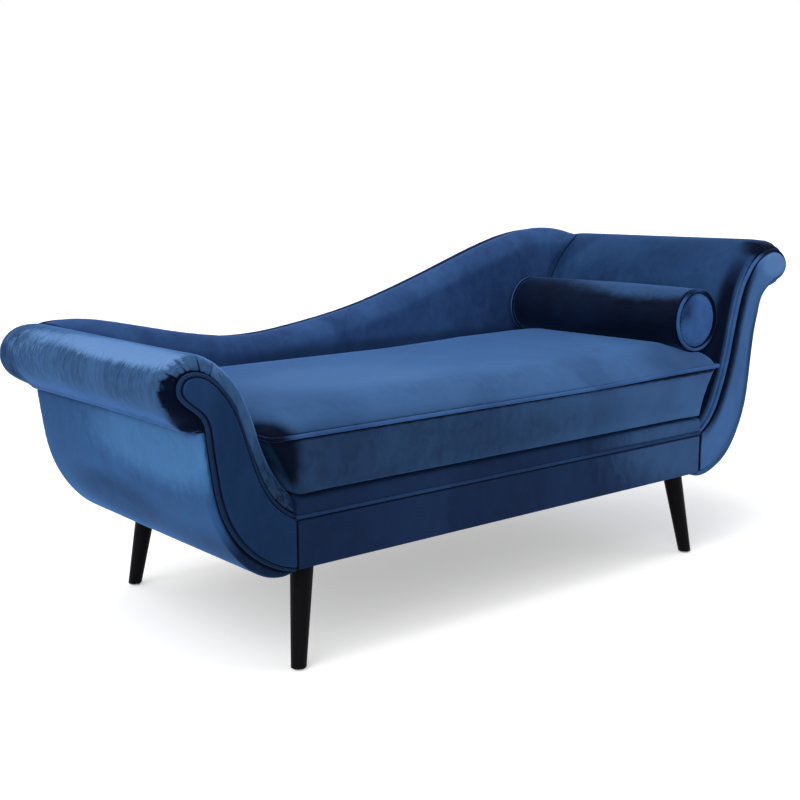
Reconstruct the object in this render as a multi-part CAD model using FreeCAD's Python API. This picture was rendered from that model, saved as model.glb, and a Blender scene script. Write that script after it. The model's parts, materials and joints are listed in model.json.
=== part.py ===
import FreeCAD, Part

import math
import os

from FreeCAD import Vector

# A scroll-arm chaise longue: low arm on the left, high arm on the right, S-curved back behind,
# a loose seat cushion and a loose bolster. Millimetres, +Z up, +X to the high arm, +Y to the back.
# It is drawn about the middle of the seat, and moved at the end, so that the origin lies on the
# floor under the middle of the overall length and depth.

# Overall frame
depth = 706.0
seam_u = 590.0
floor_to_base = 202.0
rail_rise = 94.0
band_rise = 135.0
facing_seam_rise = 95.0
facing_foot_rise = 4.0

# Timber and board
rail_thickness = 25.0
rail_lift = 6.0
cross_rail_width = 45.0
cross_rail_height = 60.0
board_thickness = 18.0
skin_thickness = 2.7
block_length = 58.0
block_height = 80.0
batten_width = 26.0
batten_height = 36.0
dowel_radius = 20.0
foot_batten_thickness = 24.0
foot_batten_height = 68.0

# Padding and cover
facing_thickness = 12.0
facing_edge_radius = 4.0
slope_pad = 42.0
outer_thickness = 18.0
outer_foot_thickness = 12.0
outer_belly = 12.0
rail_cover_thickness = 8.0
rail_cover_edge_radius = 3.0
pad_end_seat = 8.5
pad_tuck_share = 0.6
outer_end_length = 9.0
piping_radius = 3.5
clearance = 0.3
edge_roll_depth = 62.0
edge_roll_radius = 12.0

# How finely the drawn curves are followed
edge_steps_per_point = 2
pad_end_steps = 6
panel_end_steps = 3
turned_steps = 8
search_steps = 40
pad_samples = 400

# Legs
leg_inset_u = 43.0
leg_inset_y = 50.0
leg_splay_u = 30.0
leg_splay_y = 25.0
leg_top_radius = 23.0
leg_foot_radius = 15.0
leg_bore_depth = 36.0
leg_bore_gap = 0.1
glide_radius = 11.0
glide_height = 4.0
plate_size = 62.0
plate_offset = 6.0
plate_thickness = 4.0
stud_radius = 4.0
stud_rise = 70.0
bolt_radius = 4.0
bolt_head_radius = 9.0
bolt_head_height = 5.0
bolt_tip_cover = 4.0
dust_cover_thickness = 1.0
dust_cover_hole_gap = 1.0

# Springs
spring_wire_radius = 1.8
spring_margin = 86.0
spring_count = 8
spring_loops = 26
spring_half_width = 25.0
clip_length = 12.0
clip_width = 14.0
clip_thickness = 2.0

# Back
back_depth = 91.0
back_wall = 54.0
back_cap = 40.0
back_round_steps = 6
back_top_rail_height = 55.0
back_post_width = 45.0
back_post_margin = 25.0
BACK_POST_SHARES = (-1.0, -0.5, 0.0, 0.5, 1.0)
back_lower_rail_height = 40.0
back_foot_lift = 8.0
outside_back_thickness = 6.5
outside_back_drop = 12.0

# Seat cushion
cushion_overhang = 5.0
cushion_back_gap = 12.0
cushion_border = 110.0
cushion_under_crown = 6.0
cushion_crown = 50.0
crown_reach = 220.0
crown_fullness = 6
cushion_draw_in = 4.0
front_corner_radius = 14.0
back_corner_radius = 60.0
least_corner_radius = 8.0
cloth = 3.0
over_cut = 1.0

# Cushion zip
zip_length = 520.0
zip_width = 14.0
zip_rib = 1.2
zip_rib_width = 4.0
zip_rib_end = 6.0
slider_length = 11.0
slider_height = 9.0
slider_thickness = 3.6
pull_length = 24.0
pull_width = 5.0
pull_thickness = 1.4
pull_tab = 2.0

# Bolster
bolster_radius = 77.0
bolster_length = 552.0
bolster_back_gap = 24.0
bolster_barrel = 2.0
bolster_cap_thickness = 2.4
bolster_cap_crown = 6.0

# Arm outlines in the plane across the seat: outward distance and height. FOOT_INNER and the middle
# of each scroll count from the top of the seam with the seat, and each foot from the bottom of that
# seam, where it ends. The rise, the neck and the battens count from the middle of the scroll.
FOOT_INNER = ((0, 0), (48, 36), (86, 105))
LOW_ARM = {
    "side": -1,
    "scroll": (190.0, 251.0),
    "head": 34.0,
    "rise": ((-78, -68), (-61, -28), (-39, 3), (-14, 25), (11, 32), (29, 25), (34, 8), (23, -8), (2, -25)),
    "neck": ((-14, -45), (-21, -78)),
    "foot": ((162, 209), (154, 159), (138, 111), (113, 71), (82, 40), (45, 16), (0, 0)),
    "crease_height": -62.0,
    "battens": ((-51, -98), (-85, -215)),
    "roll_pad": 35.0,
    "roll_end": 34.0,
}
HIGH_ARM = {
    "side": 1,
    "scroll": (290.0, 393.0),
    "head": 36.0,
    "rise": (
        (-180, -222), (-164, -158), (-148, -100), (-132, -55), (-112, -23), (-81, 10), (-49, 27),
        (-11, 34), (25, 19), (36, -2), (24, -20), (-6, -32), (-36, -46),
    ),
    "neck": ((-63, -73), (-75, -105), (-87, -149), (-95, -193), (-101, -243)),
    "foot": ((182, 188), (168, 131), (148, 93), (129, 66), (99, 38), (64, 19), (26, 4), (0, 0)),
    "crease_height": -66.0,
    "battens": ((-114, -92), (-147, -225), (-185, -357)),
    "roll_pad": 28.0,
    "roll_end": 66.0,
}
# Top line of the back: distance along the seat from its middle, height above the seat's base. It is
# drawn for one place of the seam: between the seams it stretches, and beyond them it goes with the arms.
back_line_seam_u = 590.0
BACK_LINE = (
    (-812, 380), (-775, 409), (-717, 418), (-615, 404), (-448, 368), (-280, 350), (-100, 367),
    (60, 397), (200, 436), (353, 486), (500, 535), (620, 564), (715, 571), (790, 563), (862, 540),
)

# Worked-out places
rail_top = floor_to_base + rail_rise
band_top = floor_to_base + band_rise
facing_top_at_seam = floor_to_base + facing_seam_rise
facing_foot = floor_to_base + facing_foot_rise
half_depth = depth / 2
board_front = half_depth - facing_thickness
board_reach = board_front - board_thickness
rail_front = half_depth - rail_cover_thickness
rail_inside = rail_front - rail_thickness
rail_bottom = floor_to_base + rail_lift
seat_end = seam_u - clearance
leg_top_z = rail_bottom - plate_thickness
spring_z = rail_top + clearance + spring_wire_radius
spring_top = spring_z + spring_wire_radius + clearance
rail_seam_z = facing_top_at_seam + piping_radius
band_low = rail_seam_z + piping_radius + clearance
leg_top_u = seam_u - leg_inset_u
leg_top_y = half_depth - leg_inset_y
back_front_y = half_depth - back_depth
cushion_front = -half_depth - cushion_overhang
cushion_back = back_front_y - cushion_back_gap
bolster_back = back_front_y - bolster_back_gap
edge_low = band_top + clearance + cushion_under_crown
edge_high = edge_low + cushion_border
foot_middle = (facing_top_at_seam + facing_foot) / 2
made = {}


def keep(name, *shapes):
    """Files the solids of one sub-part under its name."""
    solids = [s for shape in shapes for s in shape.Solids]
    made[name] = solids[0] if len(solids) == 1 else Part.makeCompound(solids)


def box(x0, x1, y0, y1, z0, z1):
    """A box between two corners, whichever way round they come."""
    x, y, z = sorted((x0, x1)), sorted((y0, y1)), sorted((z0, z1))
    return Part.makeBox(x[1] - x[0], y[1] - y[0], z[1] - z[0], Vector(x[0], y[0], z[0]))


def line(a, b):
    return Part.LineSegment(a, b).toShape()


def smooth(points):
    """A smooth curve through the points."""
    curve = Part.BSplineCurve()
    curve.interpolate(points)
    return curve


def arc_from(p, tangent, q):
    """The arc that leaves p along the tangent and ends at q."""
    chord = q - p
    across = chord * (1 / chord.Length)
    side = tangent - across * tangent.dot(across)
    if side.Length < 1e-4:
        return line(p, q)
    bulge = chord.Length / 2 * side.Length / (1 + tangent.dot(across))
    middle = (p + q) * 0.5 + side.normalize() * bulge
    return Part.Arc(p, middle, q).toShape()


def two_arcs(p, p_tangent, q, q_tangent):
    """Two arcs from p to q that meet in one tangent, and leave and arrive along the given ones."""
    v = q - p
    both = v.dot(p_tangent + q_tangent)
    spread = 2 * (1 - p_tangent.dot(q_tangent))
    if spread < 1e-9:
        reach = v.dot(v) / (2 * both)
    else:
        reach = (-both + math.sqrt(both * both + spread * v.dot(v))) / spread
    middle = (p + q + (p_tangent - q_tangent) * reach) * 0.5
    last = arc_from(q, q_tangent * -1, middle)
    return [arc_from(p, p_tangent, middle), last]


def arc_path(places):
    """A path of tangent arcs through (point, tangent) pairs."""
    edges = []
    for (p, p_tangent), (q, q_tangent) in zip(places, places[1:]):
        edges += two_arcs(p, p_tangent, q, q_tangent)
    return Part.Wire(edges)


def tube(path, start, along, radius):
    """A round cord along a path that begins at start."""
    ring = Part.Wire([Part.makeCircle(radius, start, along)])
    return path.makePipeShell([ring], True, False)


def loft(wires):
    return Part.makeLoft(wires, True, True)


def round_in(distance, length):
    """How far a rounded end has grown to its full size, from 0 to 1, at a distance from its face."""
    short = max(0.0, 1 - distance / length)
    return math.sqrt(1 - short * short)


class ArmProfile:
    """The facing's edge of one arm, and curves at a distance outside it."""

    def __init__(self, arm):
        su = seam_u + arm["scroll"][0]
        sz = facing_top_at_seam + arm["scroll"][1]
        inner = [(seam_u + u, facing_top_at_seam + z) for u, z in FOOT_INNER]
        scroll = [(su + u, sz + z) for u, z in arm["rise"]]
        neck = [(su + u, sz + z) for u, z in arm["neck"]]
        foot = [(seam_u + u, facing_foot + z) for u, z in arm["foot"]]
        self.side = arm["side"]
        self.scroll = (su, sz)
        self.roll_pad = arm["roll_pad"]
        self.roll_end = arm["roll_end"]
        self.reach = su + arm["head"] + self.roll_pad
        self.battens = [(su + u, sz + z) for u, z in arm["battens"]]
        points = [Vector(u, 0, z) for u, z in inner + scroll + neck + foot]
        self.curve = smooth(points)
        self.last = self.curve.LastParameter
        self.knots = [self.curve.parameter(point) for point in points]
        top_u, top_z = max(scroll, key=lambda point: point[1])
        self.top = self.curve.parameter(Vector(top_u, 0, top_z))
        self.crease = self.under_scroll(sz + arm["crease_height"])

    def under_scroll(self, z):
        """The place under the scroll where the edge passes the height z."""
        above, below = self.top, self.last
        for _ in range(search_steps):
            middle = (above + below) / 2
            if self.curve.value(middle).z > z:
                above = middle
            else:
                below = middle
        return above

    def at(self, t, off):
        """The point at parameter t, moved outward by off: (u, z)."""
        p = self.curve.value(t)
        d = self.curve.tangent(t)[0]
        return p.x - d.z * off, p.z + d.x * off

    def place(self, u, y, z):
        return Vector(self.side * u, y, z)

    def edge(self, off, t0, t1, y):
        """The smooth curve at distance off(t) outside the facing's edge, from t0 to t1."""
        shares = [i / edge_steps_per_point for i in range(edge_steps_per_point)]
        between = [a + (b - a) * share for a, b in zip(self.knots, self.knots[1:]) for share in shares]
        least = self.last / len(between) / 4
        ts = [t0] + [t for t in between if t0 + least < t < t1 - least] + [t1]
        points = [self.at(t, off(t)) for t in ts]
        return smooth([self.place(u, y, z) for u, z in points]).toShape()

    def closed(self, y):
        """The facing's outline, shut by the upright line at the seam."""
        curve = self.edge(lambda t: 0.0, 0.0, self.last, y)
        return Part.Wire([curve, line(curve.Vertexes[-1].Point, curve.Vertexes[0].Point)])

    def plate(self, y0, y1):
        """A flat plate of the facing's outline."""
        return Part.Face(self.closed(y0)).extrude(Vector(0, y1 - y0, 0))

    def facing(self, sign):
        """The upholstered plate on the front (-1) or back (1) board, with a rounded rim."""
        plate = self.plate(sign * board_front, sign * half_depth)
        rim = []
        for edge in plate.Edges:
            flat = edge.BoundBox.YMax - edge.BoundBox.YMin < 0.01
            if flat and abs(edge.CenterOfMass.y) > board_front + facing_thickness / 2:
                rim.append(edge)
        return plate.makeFillet(facing_edge_radius, rim)

    def band(self, inside, outside, t0, t1, y):
        """A strip of outline between two distances from the facing's edge."""
        a = self.edge(inside, t0, t1, y)
        b = self.edge(outside, t0, t1, y)
        a0, a1 = a.Vertexes[0].Point, a.Vertexes[-1].Point
        b0, b1 = b.Vertexes[0].Point, b.Vertexes[-1].Point
        return Part.Wire([a, line(a1, b1), b, line(b0, a0)])

    def beyond_seam(self):
        """The block of space on the seat's side of the seam."""
        return box(0.0, self.side * (seam_u + clearance), -depth, depth, 0, 2 * depth)

    def batten(self, u, z, width, height):
        """A timber from the front board to the back board."""
        x0, x1 = self.side * (u - width / 2), self.side * (u + width / 2)
        return box(x0, x1, -board_reach, board_reach, z - height / 2, z + height / 2)

    def pad_depth(self, t):
        """Thickness of the padding, which tucks in under the scroll at the crease."""
        climb = min(1.0, t / self.top)
        full = slope_pad + (self.roll_pad - slope_pad) * climb * climb
        tuck = self.roll_pad * pad_tuck_share
        left = self.crease - t
        if left >= tuck:
            return full
        return outer_thickness + (full - outer_thickness) * round_in(max(left, 0.0), tuck)

    def outer_depth(self, t):
        """Thickness of the outer panel, with a belly low down."""
        share = ((t - self.crease) / (self.last - self.crease)) ** 4
        thinning = (outer_thickness - outer_foot_thickness) * share
        return outer_thickness - thinning + outer_belly * math.sin(math.pi * share)

    def end_length(self, t):
        """How far from its ends the padding draws in: most over the scroll."""
        climb = min(1.0, t / self.top)
        least = outer_end_length + slope_pad / 2
        return least + (self.roll_end - least) * climb ** 4

    def pad_inner_u(self, z):
        """Where the padding's inner surface stands at height z, outward from the middle of the seat."""
        low, high = 0.0, self.top
        for _ in range(search_steps):
            middle = (low + high) / 2
            if self.at(middle, self.pad_depth(middle))[1] < z:
                low = middle
            else:
                high = middle
        return self.at(low, self.pad_depth(low))[0]

    def piping(self, y):
        """The welt round the facing, cut off at the seam."""
        off = piping_radius + clearance
        places = []
        for t in self.knots:
            u, z = self.at(t, off)
            d = self.curve.tangent(t)[0]
            places.append((self.place(u, y, z), Vector(self.side * d.x, 0, d.z)))
        return tube(arc_path(places), *places[0], piping_radius).cut(self.beyond_seam())

    def envelope(self):
        """All that the padded arm fills, with a clearance, drawn through the full depth."""
        inner = self.edge(lambda t: self.pad_depth(t) + clearance, 0.0, self.crease, -depth)
        outer = self.edge(lambda t: self.outer_depth(t) + clearance, self.crease, self.last, -depth)
        a, b = inner.Vertexes[0].Point, inner.Vertexes[-1].Point
        c, d = outer.Vertexes[0].Point, outer.Vertexes[-1].Point
        low = self.place(seam_u, -depth, facing_top_at_seam)
        join = [] if b.isEqual(c, 1e-3) else [line(b, c)]
        face = Part.Face(Part.Wire([inner] + join + [outer, line(d, low), line(low, a)]))
        return face.extrude(Vector(0, 2 * depth, 0))


def rounded_band(profile, inside, outside, t0, t1, length, steps):
    """A strip of padding along the depth, whose outer edge draws in at both ends over length(t)."""
    longest = max(length(t0 + (t1 - t0) * i / steps) for i in range(steps + 1))
    reaches = [longest * (1 - math.cos(math.pi / 2 * i / steps)) for i in range(steps + 1)]
    wires = []
    for sign in (-1, 1):
        for reach in reaches[::-sign]:
            def off(t, reach=reach):
                return pad_end_seat + (outside(t) - pad_end_seat) * round_in(reach, length(t))
            wires.append(profile.band(inside, off, t0, t1, sign * (board_front - reach)))
    return loft(wires)


def make_arm(arm, prefix):
    """One arm: boards, battens, skin, padding, outer panel, facings and piping."""
    p = ArmProfile(arm)
    skin_out = clearance + skin_thickness
    pad_in = skin_out + clearance
    cut = p.beyond_seam()

    for end, sign in (("front", -1), ("back", 1)):
        keep(f"{prefix}_{end}_board", p.plate(sign * board_front, sign * board_reach))
        keep(f"{prefix}_{end}_facing", p.facing(sign))
        keep(f"{prefix}_{end}_piping", p.piping(sign * (board_front + piping_radius + clearance)))

    ends = (-board_front, board_front)
    skin = loft([p.band(lambda t: clearance, lambda t: skin_out, 0.0, p.last, y) for y in ends])
    keep(f"{prefix}_skin", skin.cut(cut))

    pad = rounded_band(p, lambda t: pad_in, p.pad_depth, 0.0, p.crease, p.end_length, pad_end_steps)
    keep(f"{prefix}_pad", pad.cut(cut))

    start = p.crease + clearance
    outer = rounded_band(
        p, lambda t: pad_in, p.outer_depth, start, p.last, lambda t: outer_end_length, panel_end_steps
    )
    keep(f"{prefix}_outer_panel", outer.cut(cut))

    su, sz = p.scroll
    dowel = Part.makeCylinder(dowel_radius, 2 * board_reach, p.place(su, -board_reach, sz), Vector(0, 1, 0))
    battens = [p.batten(u, z, batten_width, batten_height) for u, z in p.battens]
    foot_u = seam_u + clearance + foot_batten_thickness / 2
    foot = p.batten(foot_u, foot_middle, foot_batten_thickness, foot_batten_height)
    for hole in arm_bolts(p.side, bolt_radius + leg_bore_gap):
        foot = foot.cut(hole)
    keep(f"{prefix}_battens", dowel, foot, *battens)
    return p


def arm_bolts(side, radius):
    """The shanks of the bolts from the seat's end rail into an arm's foot batten, or their bores."""
    length = rail_thickness + clearance * 2 + foot_batten_thickness - bolt_tip_cover
    start = side * (seat_end - rail_thickness)
    return [
        Part.makeCylinder(radius, length, Vector(start, y, foot_middle), Vector(side, 0, 0))
        for y in (-depth / 4, depth / 4)
    ]


def make_arm_bolts():
    bolts = []
    for side in (-1, 1):
        for shank in arm_bolts(side, bolt_radius):
            centre = shank.BoundBox.Center
            at = Vector(side * (seat_end - rail_thickness), centre.y, centre.z)
            head = Part.makeCylinder(bolt_head_radius, bolt_head_height, at, Vector(-side, 0, 0))
            bolts.append(head.fuse(shank).removeSplitter())
    keep("arm_bolts", *bolts)


def make_seat_frame():
    """Rails, cross rails and corner blocks."""
    keep("seat_front_rail", box(-seat_end, seat_end, -rail_front, -rail_inside, rail_bottom, rail_top))
    keep("seat_back_rail", box(-seat_end, seat_end, rail_inside, rail_front, rail_bottom, rail_top))
    for name, side in (("left", -1), ("right", 1)):
        x0, x1 = side * seat_end, side * (seat_end - rail_thickness)
        rail = box(x0, x1, -rail_inside, rail_inside, rail_bottom, rail_top)
        for hole in arm_bolts(side, bolt_radius + leg_bore_gap):
            rail = rail.cut(hole)
        keep(f"seat_{name}_rail", rail)
    half = cross_rail_width / 2
    cross_top = rail_bottom + cross_rail_height
    keep("seat_cross_rails", *[
        box(x - half, x + half, -rail_inside, rail_inside, rail_bottom, cross_top)
        for x in (-seam_u / 2, 0.0, seam_u / 2)
    ])
    blocks = []
    for side in (-1, 1):
        for back in (-1, 1):
            x = side * (seat_end - rail_thickness)
            y = back * rail_inside
            x_far = x - side * block_length
            y_far = y - back * block_length
            block = box(x, x_far, y, y_far, rail_bottom, rail_bottom + block_height)
            blocks.append(block.cut(leg_stud(side, back, stud_radius + clearance)))
    keep("seat_corner_blocks", *blocks)
    make_arm_bolts()


def leg_axis(side, back):
    """Top centre of a leg, and the unit direction up along it."""
    top = Vector(side * leg_top_u, back * leg_top_y, leg_top_z)
    foot = Vector(top.x + side * leg_splay_u, top.y + back * leg_splay_y, 0)
    return top, (top - foot).normalize()


def leg_stud(side, back, radius):
    """The threaded stud of a leg, or the bore for it."""
    top, up = leg_axis(side, back)
    sunk = leg_bore_depth - clearance
    return Part.makeCylinder(radius, sunk + stud_rise, top - up * sunk, up)


def tapered_leg(top, foot, up):
    """A round leg with level ends and a bore for its stud."""
    rings = [
        Part.Wire([Part.makeCircle(leg_foot_radius, foot)]),
        Part.Wire([Part.makeCircle(leg_top_radius, top)]),
    ]
    length = leg_bore_depth + stud_radius
    bore = Part.makeCylinder(stud_radius + leg_bore_gap, length, top - up * leg_bore_depth, up)
    return loft(rings).cut(bore)


def plate_space(top, side, back, half, z):
    """The square space of a leg's plate, from the leg's top up to the height z."""
    x, y = top.x - side * plate_offset, top.y - back * plate_offset
    return box(x - half, x + half, y - half, y + half, leg_top_z, z)


def make_legs():
    """Tapered splayed legs, their plates, studs and glides."""
    plates, studs, glides = [], [], []
    for side, side_name in ((-1, "left"), (1, "right")):
        for back, back_name in ((-1, "front"), (1, "back")):
            top, up = leg_axis(side, back)
            foot = top - up * ((leg_top_z - glide_height) / up.z)
            keep(f"leg_{back_name}_{side_name}", tapered_leg(top, foot, up))
            plate = plate_space(top, side, back, plate_size / 2, rail_bottom)
            plates.append(plate.cut(leg_stud(side, back, stud_radius + clearance)))
            studs.append(leg_stud(side, back, stud_radius))
            glides.append(Part.makeCylinder(glide_radius, glide_height, Vector(foot.x, foot.y, 0)))
    keep("leg_plates", *plates)
    keep("leg_studs", *studs)
    keep("foot_glides", *glides)


def make_dust_cover():
    """The cloth under the seat frame, with a hole round each leg and over its plate."""
    low = rail_bottom - dust_cover_thickness
    sheet = box(-seat_end, seat_end, -rail_front, rail_front, low, rail_bottom)
    half = plate_size / 2 + dust_cover_hole_gap
    for side in (-1, 1):
        for back in (-1, 1):
            top, _ = leg_axis(side, back)
            sheet = sheet.cut(plate_space(top, side, back, half, rail_bottom + over_cut))
    keep("dust_cover", sheet)


def spring_wire(x, reach):
    """A zigzag spring from the front rail to the back rail: straights across, half turns between."""
    pitch = 2 * reach / spring_loops
    radius = pitch / 2
    wide = spring_half_width - radius
    edges = []
    for i in range(spring_loops + 1):
        y = -reach + pitch * i
        way = 1 if i % 2 == 0 else -1
        a = Vector(x - way * wide, y, spring_z)
        b = Vector(x + way * wide, y, spring_z)
        edges.append(line(a, b))
        if i < spring_loops:
            turn = Vector(b.x + way * radius, y + radius, spring_z)
            edges.append(Part.Arc(b, turn, b + Vector(0, pitch, 0)).toShape())
    return tube(Part.Wire(edges), Vector(x - wide, -reach, spring_z), Vector(1, 0, 0), spring_wire_radius)


def make_springs():
    """Zigzag springs and the clips that hold them on the rails."""
    reach = rail_front - rail_thickness / 2
    spacing = 2 * (seam_u - spring_margin) / (spring_count - 1)
    half_w, half_l = clip_width / 2, clip_length / 2
    clip_top = spring_top + clip_thickness
    wires, clips = [], []
    for i in range(spring_count):
        x = (i - (spring_count - 1) / 2) * spacing
        wires.append(spring_wire(x, reach))
        for y in (-reach, reach):
            clips.append(box(x - half_w, x + half_w, y - half_l, y + half_l, spring_top, clip_top))
    keep("seat_springs", *wires)
    keep("spring_clips", *clips)


def long_front_edges(bar):
    """The two long edges on the front face of a bar that runs along the seat."""
    along = [edge for edge in bar.Edges if edge.BoundBox.XLength > seam_u]
    return sorted(along, key=lambda edge: edge.CenterOfMass.y)[:2]


def make_seat_cover():
    """Front rail cover, its piping, the padded edge above it and the platform behind."""
    cover_top = rail_seam_z - piping_radius - clearance
    cover = box(-seat_end, seat_end, -half_depth, -rail_front, floor_to_base, cover_top)
    keep("front_rail_cover", cover.makeFillet(rail_cover_edge_radius, long_front_edges(cover)))
    at = Vector(-seat_end, -half_depth + piping_radius, rail_seam_z)
    keep("front_rail_piping", Part.makeCylinder(piping_radius, 2 * seat_end, at, Vector(1, 0, 0)))

    roll_back = -half_depth + edge_roll_depth
    roll = box(-seat_end, seat_end, -half_depth, roll_back, band_low, band_top)
    top = max(long_front_edges(roll), key=lambda edge: edge.CenterOfMass.z)
    keep("deck_edge_roll", roll.makeFillet(edge_roll_radius, [top]))
    back = back_front_y - clearance
    keep("deck_pad", box(-seat_end, seat_end, roll_back + clearance, back, spring_top, band_top))


def along_seat(x):
    """The place along the real seat of a point of the back's top line."""
    between = max(-back_line_seam_u, min(back_line_seam_u, x))
    return x - between + between * seam_u / back_line_seam_u


class Back:
    """The S-curved back between the arms."""

    def __init__(self, arms):
        self.low = rail_top + back_foot_lift
        self.envelopes = [p.envelope() for p in arms]
        self.hidden = [p.place(u, 0, z) for p in arms for u, z in sorted(p.battens) + [(seam_u, self.low)]]

    def top_points(self, drop, y):
        return [Vector(along_seat(x), y, floor_to_base + z - drop) for x, z in BACK_LINE]

    def outline(self, drop, low, y):
        """Outline of the back: its top line, and sides that end inside the arms."""
        top = self.top_points(drop, y)
        left = sorted((p for p in self.hidden if p.x < 0), key=lambda p: p.z)
        right = sorted((p for p in self.hidden if p.x > 0), key=lambda p: -p.z)
        sides = [Vector(p.x, y, p.z if p.z > self.low else low) for p in right + left]
        corners = [top[-1]] + sides + [top[0]]
        return Part.Wire([smooth(top).toShape()] + [line(a, b) for a, b in zip(corners, corners[1:])])

    def slab(self, drop, y0, y1, low=None):
        face = Part.Face(self.outline(drop, self.low if low is None else low, y0))
        return face.extrude(Vector(0, y1 - y0, 0))

    def fit(self, shape):
        """What is left between the two arms."""
        for envelope in self.envelopes:
            shape = shape.cut(envelope)
        return shape

    def padding(self):
        """The padding over the front and the top, round along its top edge, open behind for the frame."""
        radius = (rail_front - back_front_y) / 2
        turns = [math.pi / 2 * i / back_round_steps for i in range(back_round_steps + 1)]
        stations = [(radius * (1 - math.cos(turn)), radius * (1 - math.sin(turn))) for turn in turns]
        wires = [self.outline(drop, self.low, back_front_y + y) for y, drop in stations]
        wires += [self.outline(drop, self.low, rail_front - y) for y, drop in stations[-2::-1]]
        pocket = self.slab(back_cap, back_front_y + back_wall, rail_front + over_cut, rail_bottom)
        return self.fit(loft(wires).cut(pocket))

    def build(self):
        frame_front = rail_front - rail_thickness
        panel_front = frame_front - skin_thickness - clearance
        cap = back_cap + clearance
        keep("back_pad", self.padding())
        keep("back_inner_panel", self.fit(self.slab(cap, panel_front, panel_front + skin_thickness)))

        under_drop = cap + back_top_rail_height
        under = self.slab(under_drop, frame_front - over_cut, rail_front + over_cut, rail_bottom)
        keep("back_top_rail", self.fit(self.slab(cap, frame_front, rail_front).cut(under)))
        half = back_post_width / 2
        post_top = 2 * depth
        last = seam_u - back_post_margin
        places = [last * share for share in BACK_POST_SHARES]
        keep("back_posts", *[
            box(x - half, x + half, frame_front, rail_front, rail_top, post_top).common(under)
            for x in places
        ])
        top = self.low + back_lower_rail_height
        keep("back_lower_rails", *[
            box(a + half, b - half, frame_front, rail_front, self.low, top)
            for a, b in zip(places, places[1:])
        ])

        face = rail_front + clearance
        outside = face + outside_back_thickness
        sheet = self.slab(outside_back_drop, face, outside)
        skirt = box(-seat_end, seat_end, face, outside, floor_to_base, self.low + over_cut)
        keep("outside_back", self.fit(sheet.fuse(skirt).removeSplitter()))

        lift = outside_back_drop - piping_radius - clearance
        points = self.top_points(lift, face + piping_radius)
        curve = smooth(points)
        places = [(point, curve.tangent(curve.parameter(point))[0]) for point in points]
        keep("outside_back_piping", self.fit(tube(arc_path(places), *places[0], piping_radius)))


def rounded_plan(half, z, inset):
    """A rounded rectangle at height z, drawn in by inset all round, as lines and quarter arcs."""
    x1 = half - inset
    y0 = cushion_front + inset
    y1 = cushion_back - inset
    rf = max(front_corner_radius - inset / 2, least_corner_radius)
    rb = max(back_corner_radius - inset / 2, least_corner_radius)
    corners = [
        (x1 - rf, y0 + rf, rf), (x1 - rb, y1 - rb, rb), (-x1 + rb, y1 - rb, rb), (-x1 + rf, y0 + rf, rf),
    ]
    quarter = math.pi / 2
    arcs = []
    for i, (cx, cy, r) in enumerate(corners):
        turns = [quarter * (i - 1 + share) for share in (0, 1 / 2, 1)]
        arcs.append([Vector(cx + r * math.cos(turn), cy + r * math.sin(turn), z) for turn in turns])
    edges = []
    for i, points in enumerate(arcs):
        edges += [Part.Arc(*points).toShape(), line(points[2], arcs[(i + 1) % 4][0])]
    return Part.Wire(edges)


def crown_height(inset):
    """Height of the cushion's top at a distance in from its piped edge."""
    share = min(1.0, max(0.0, inset / crown_reach))
    return edge_high + cushion_crown * (1 - (1 - share) ** crown_fullness)


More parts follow.
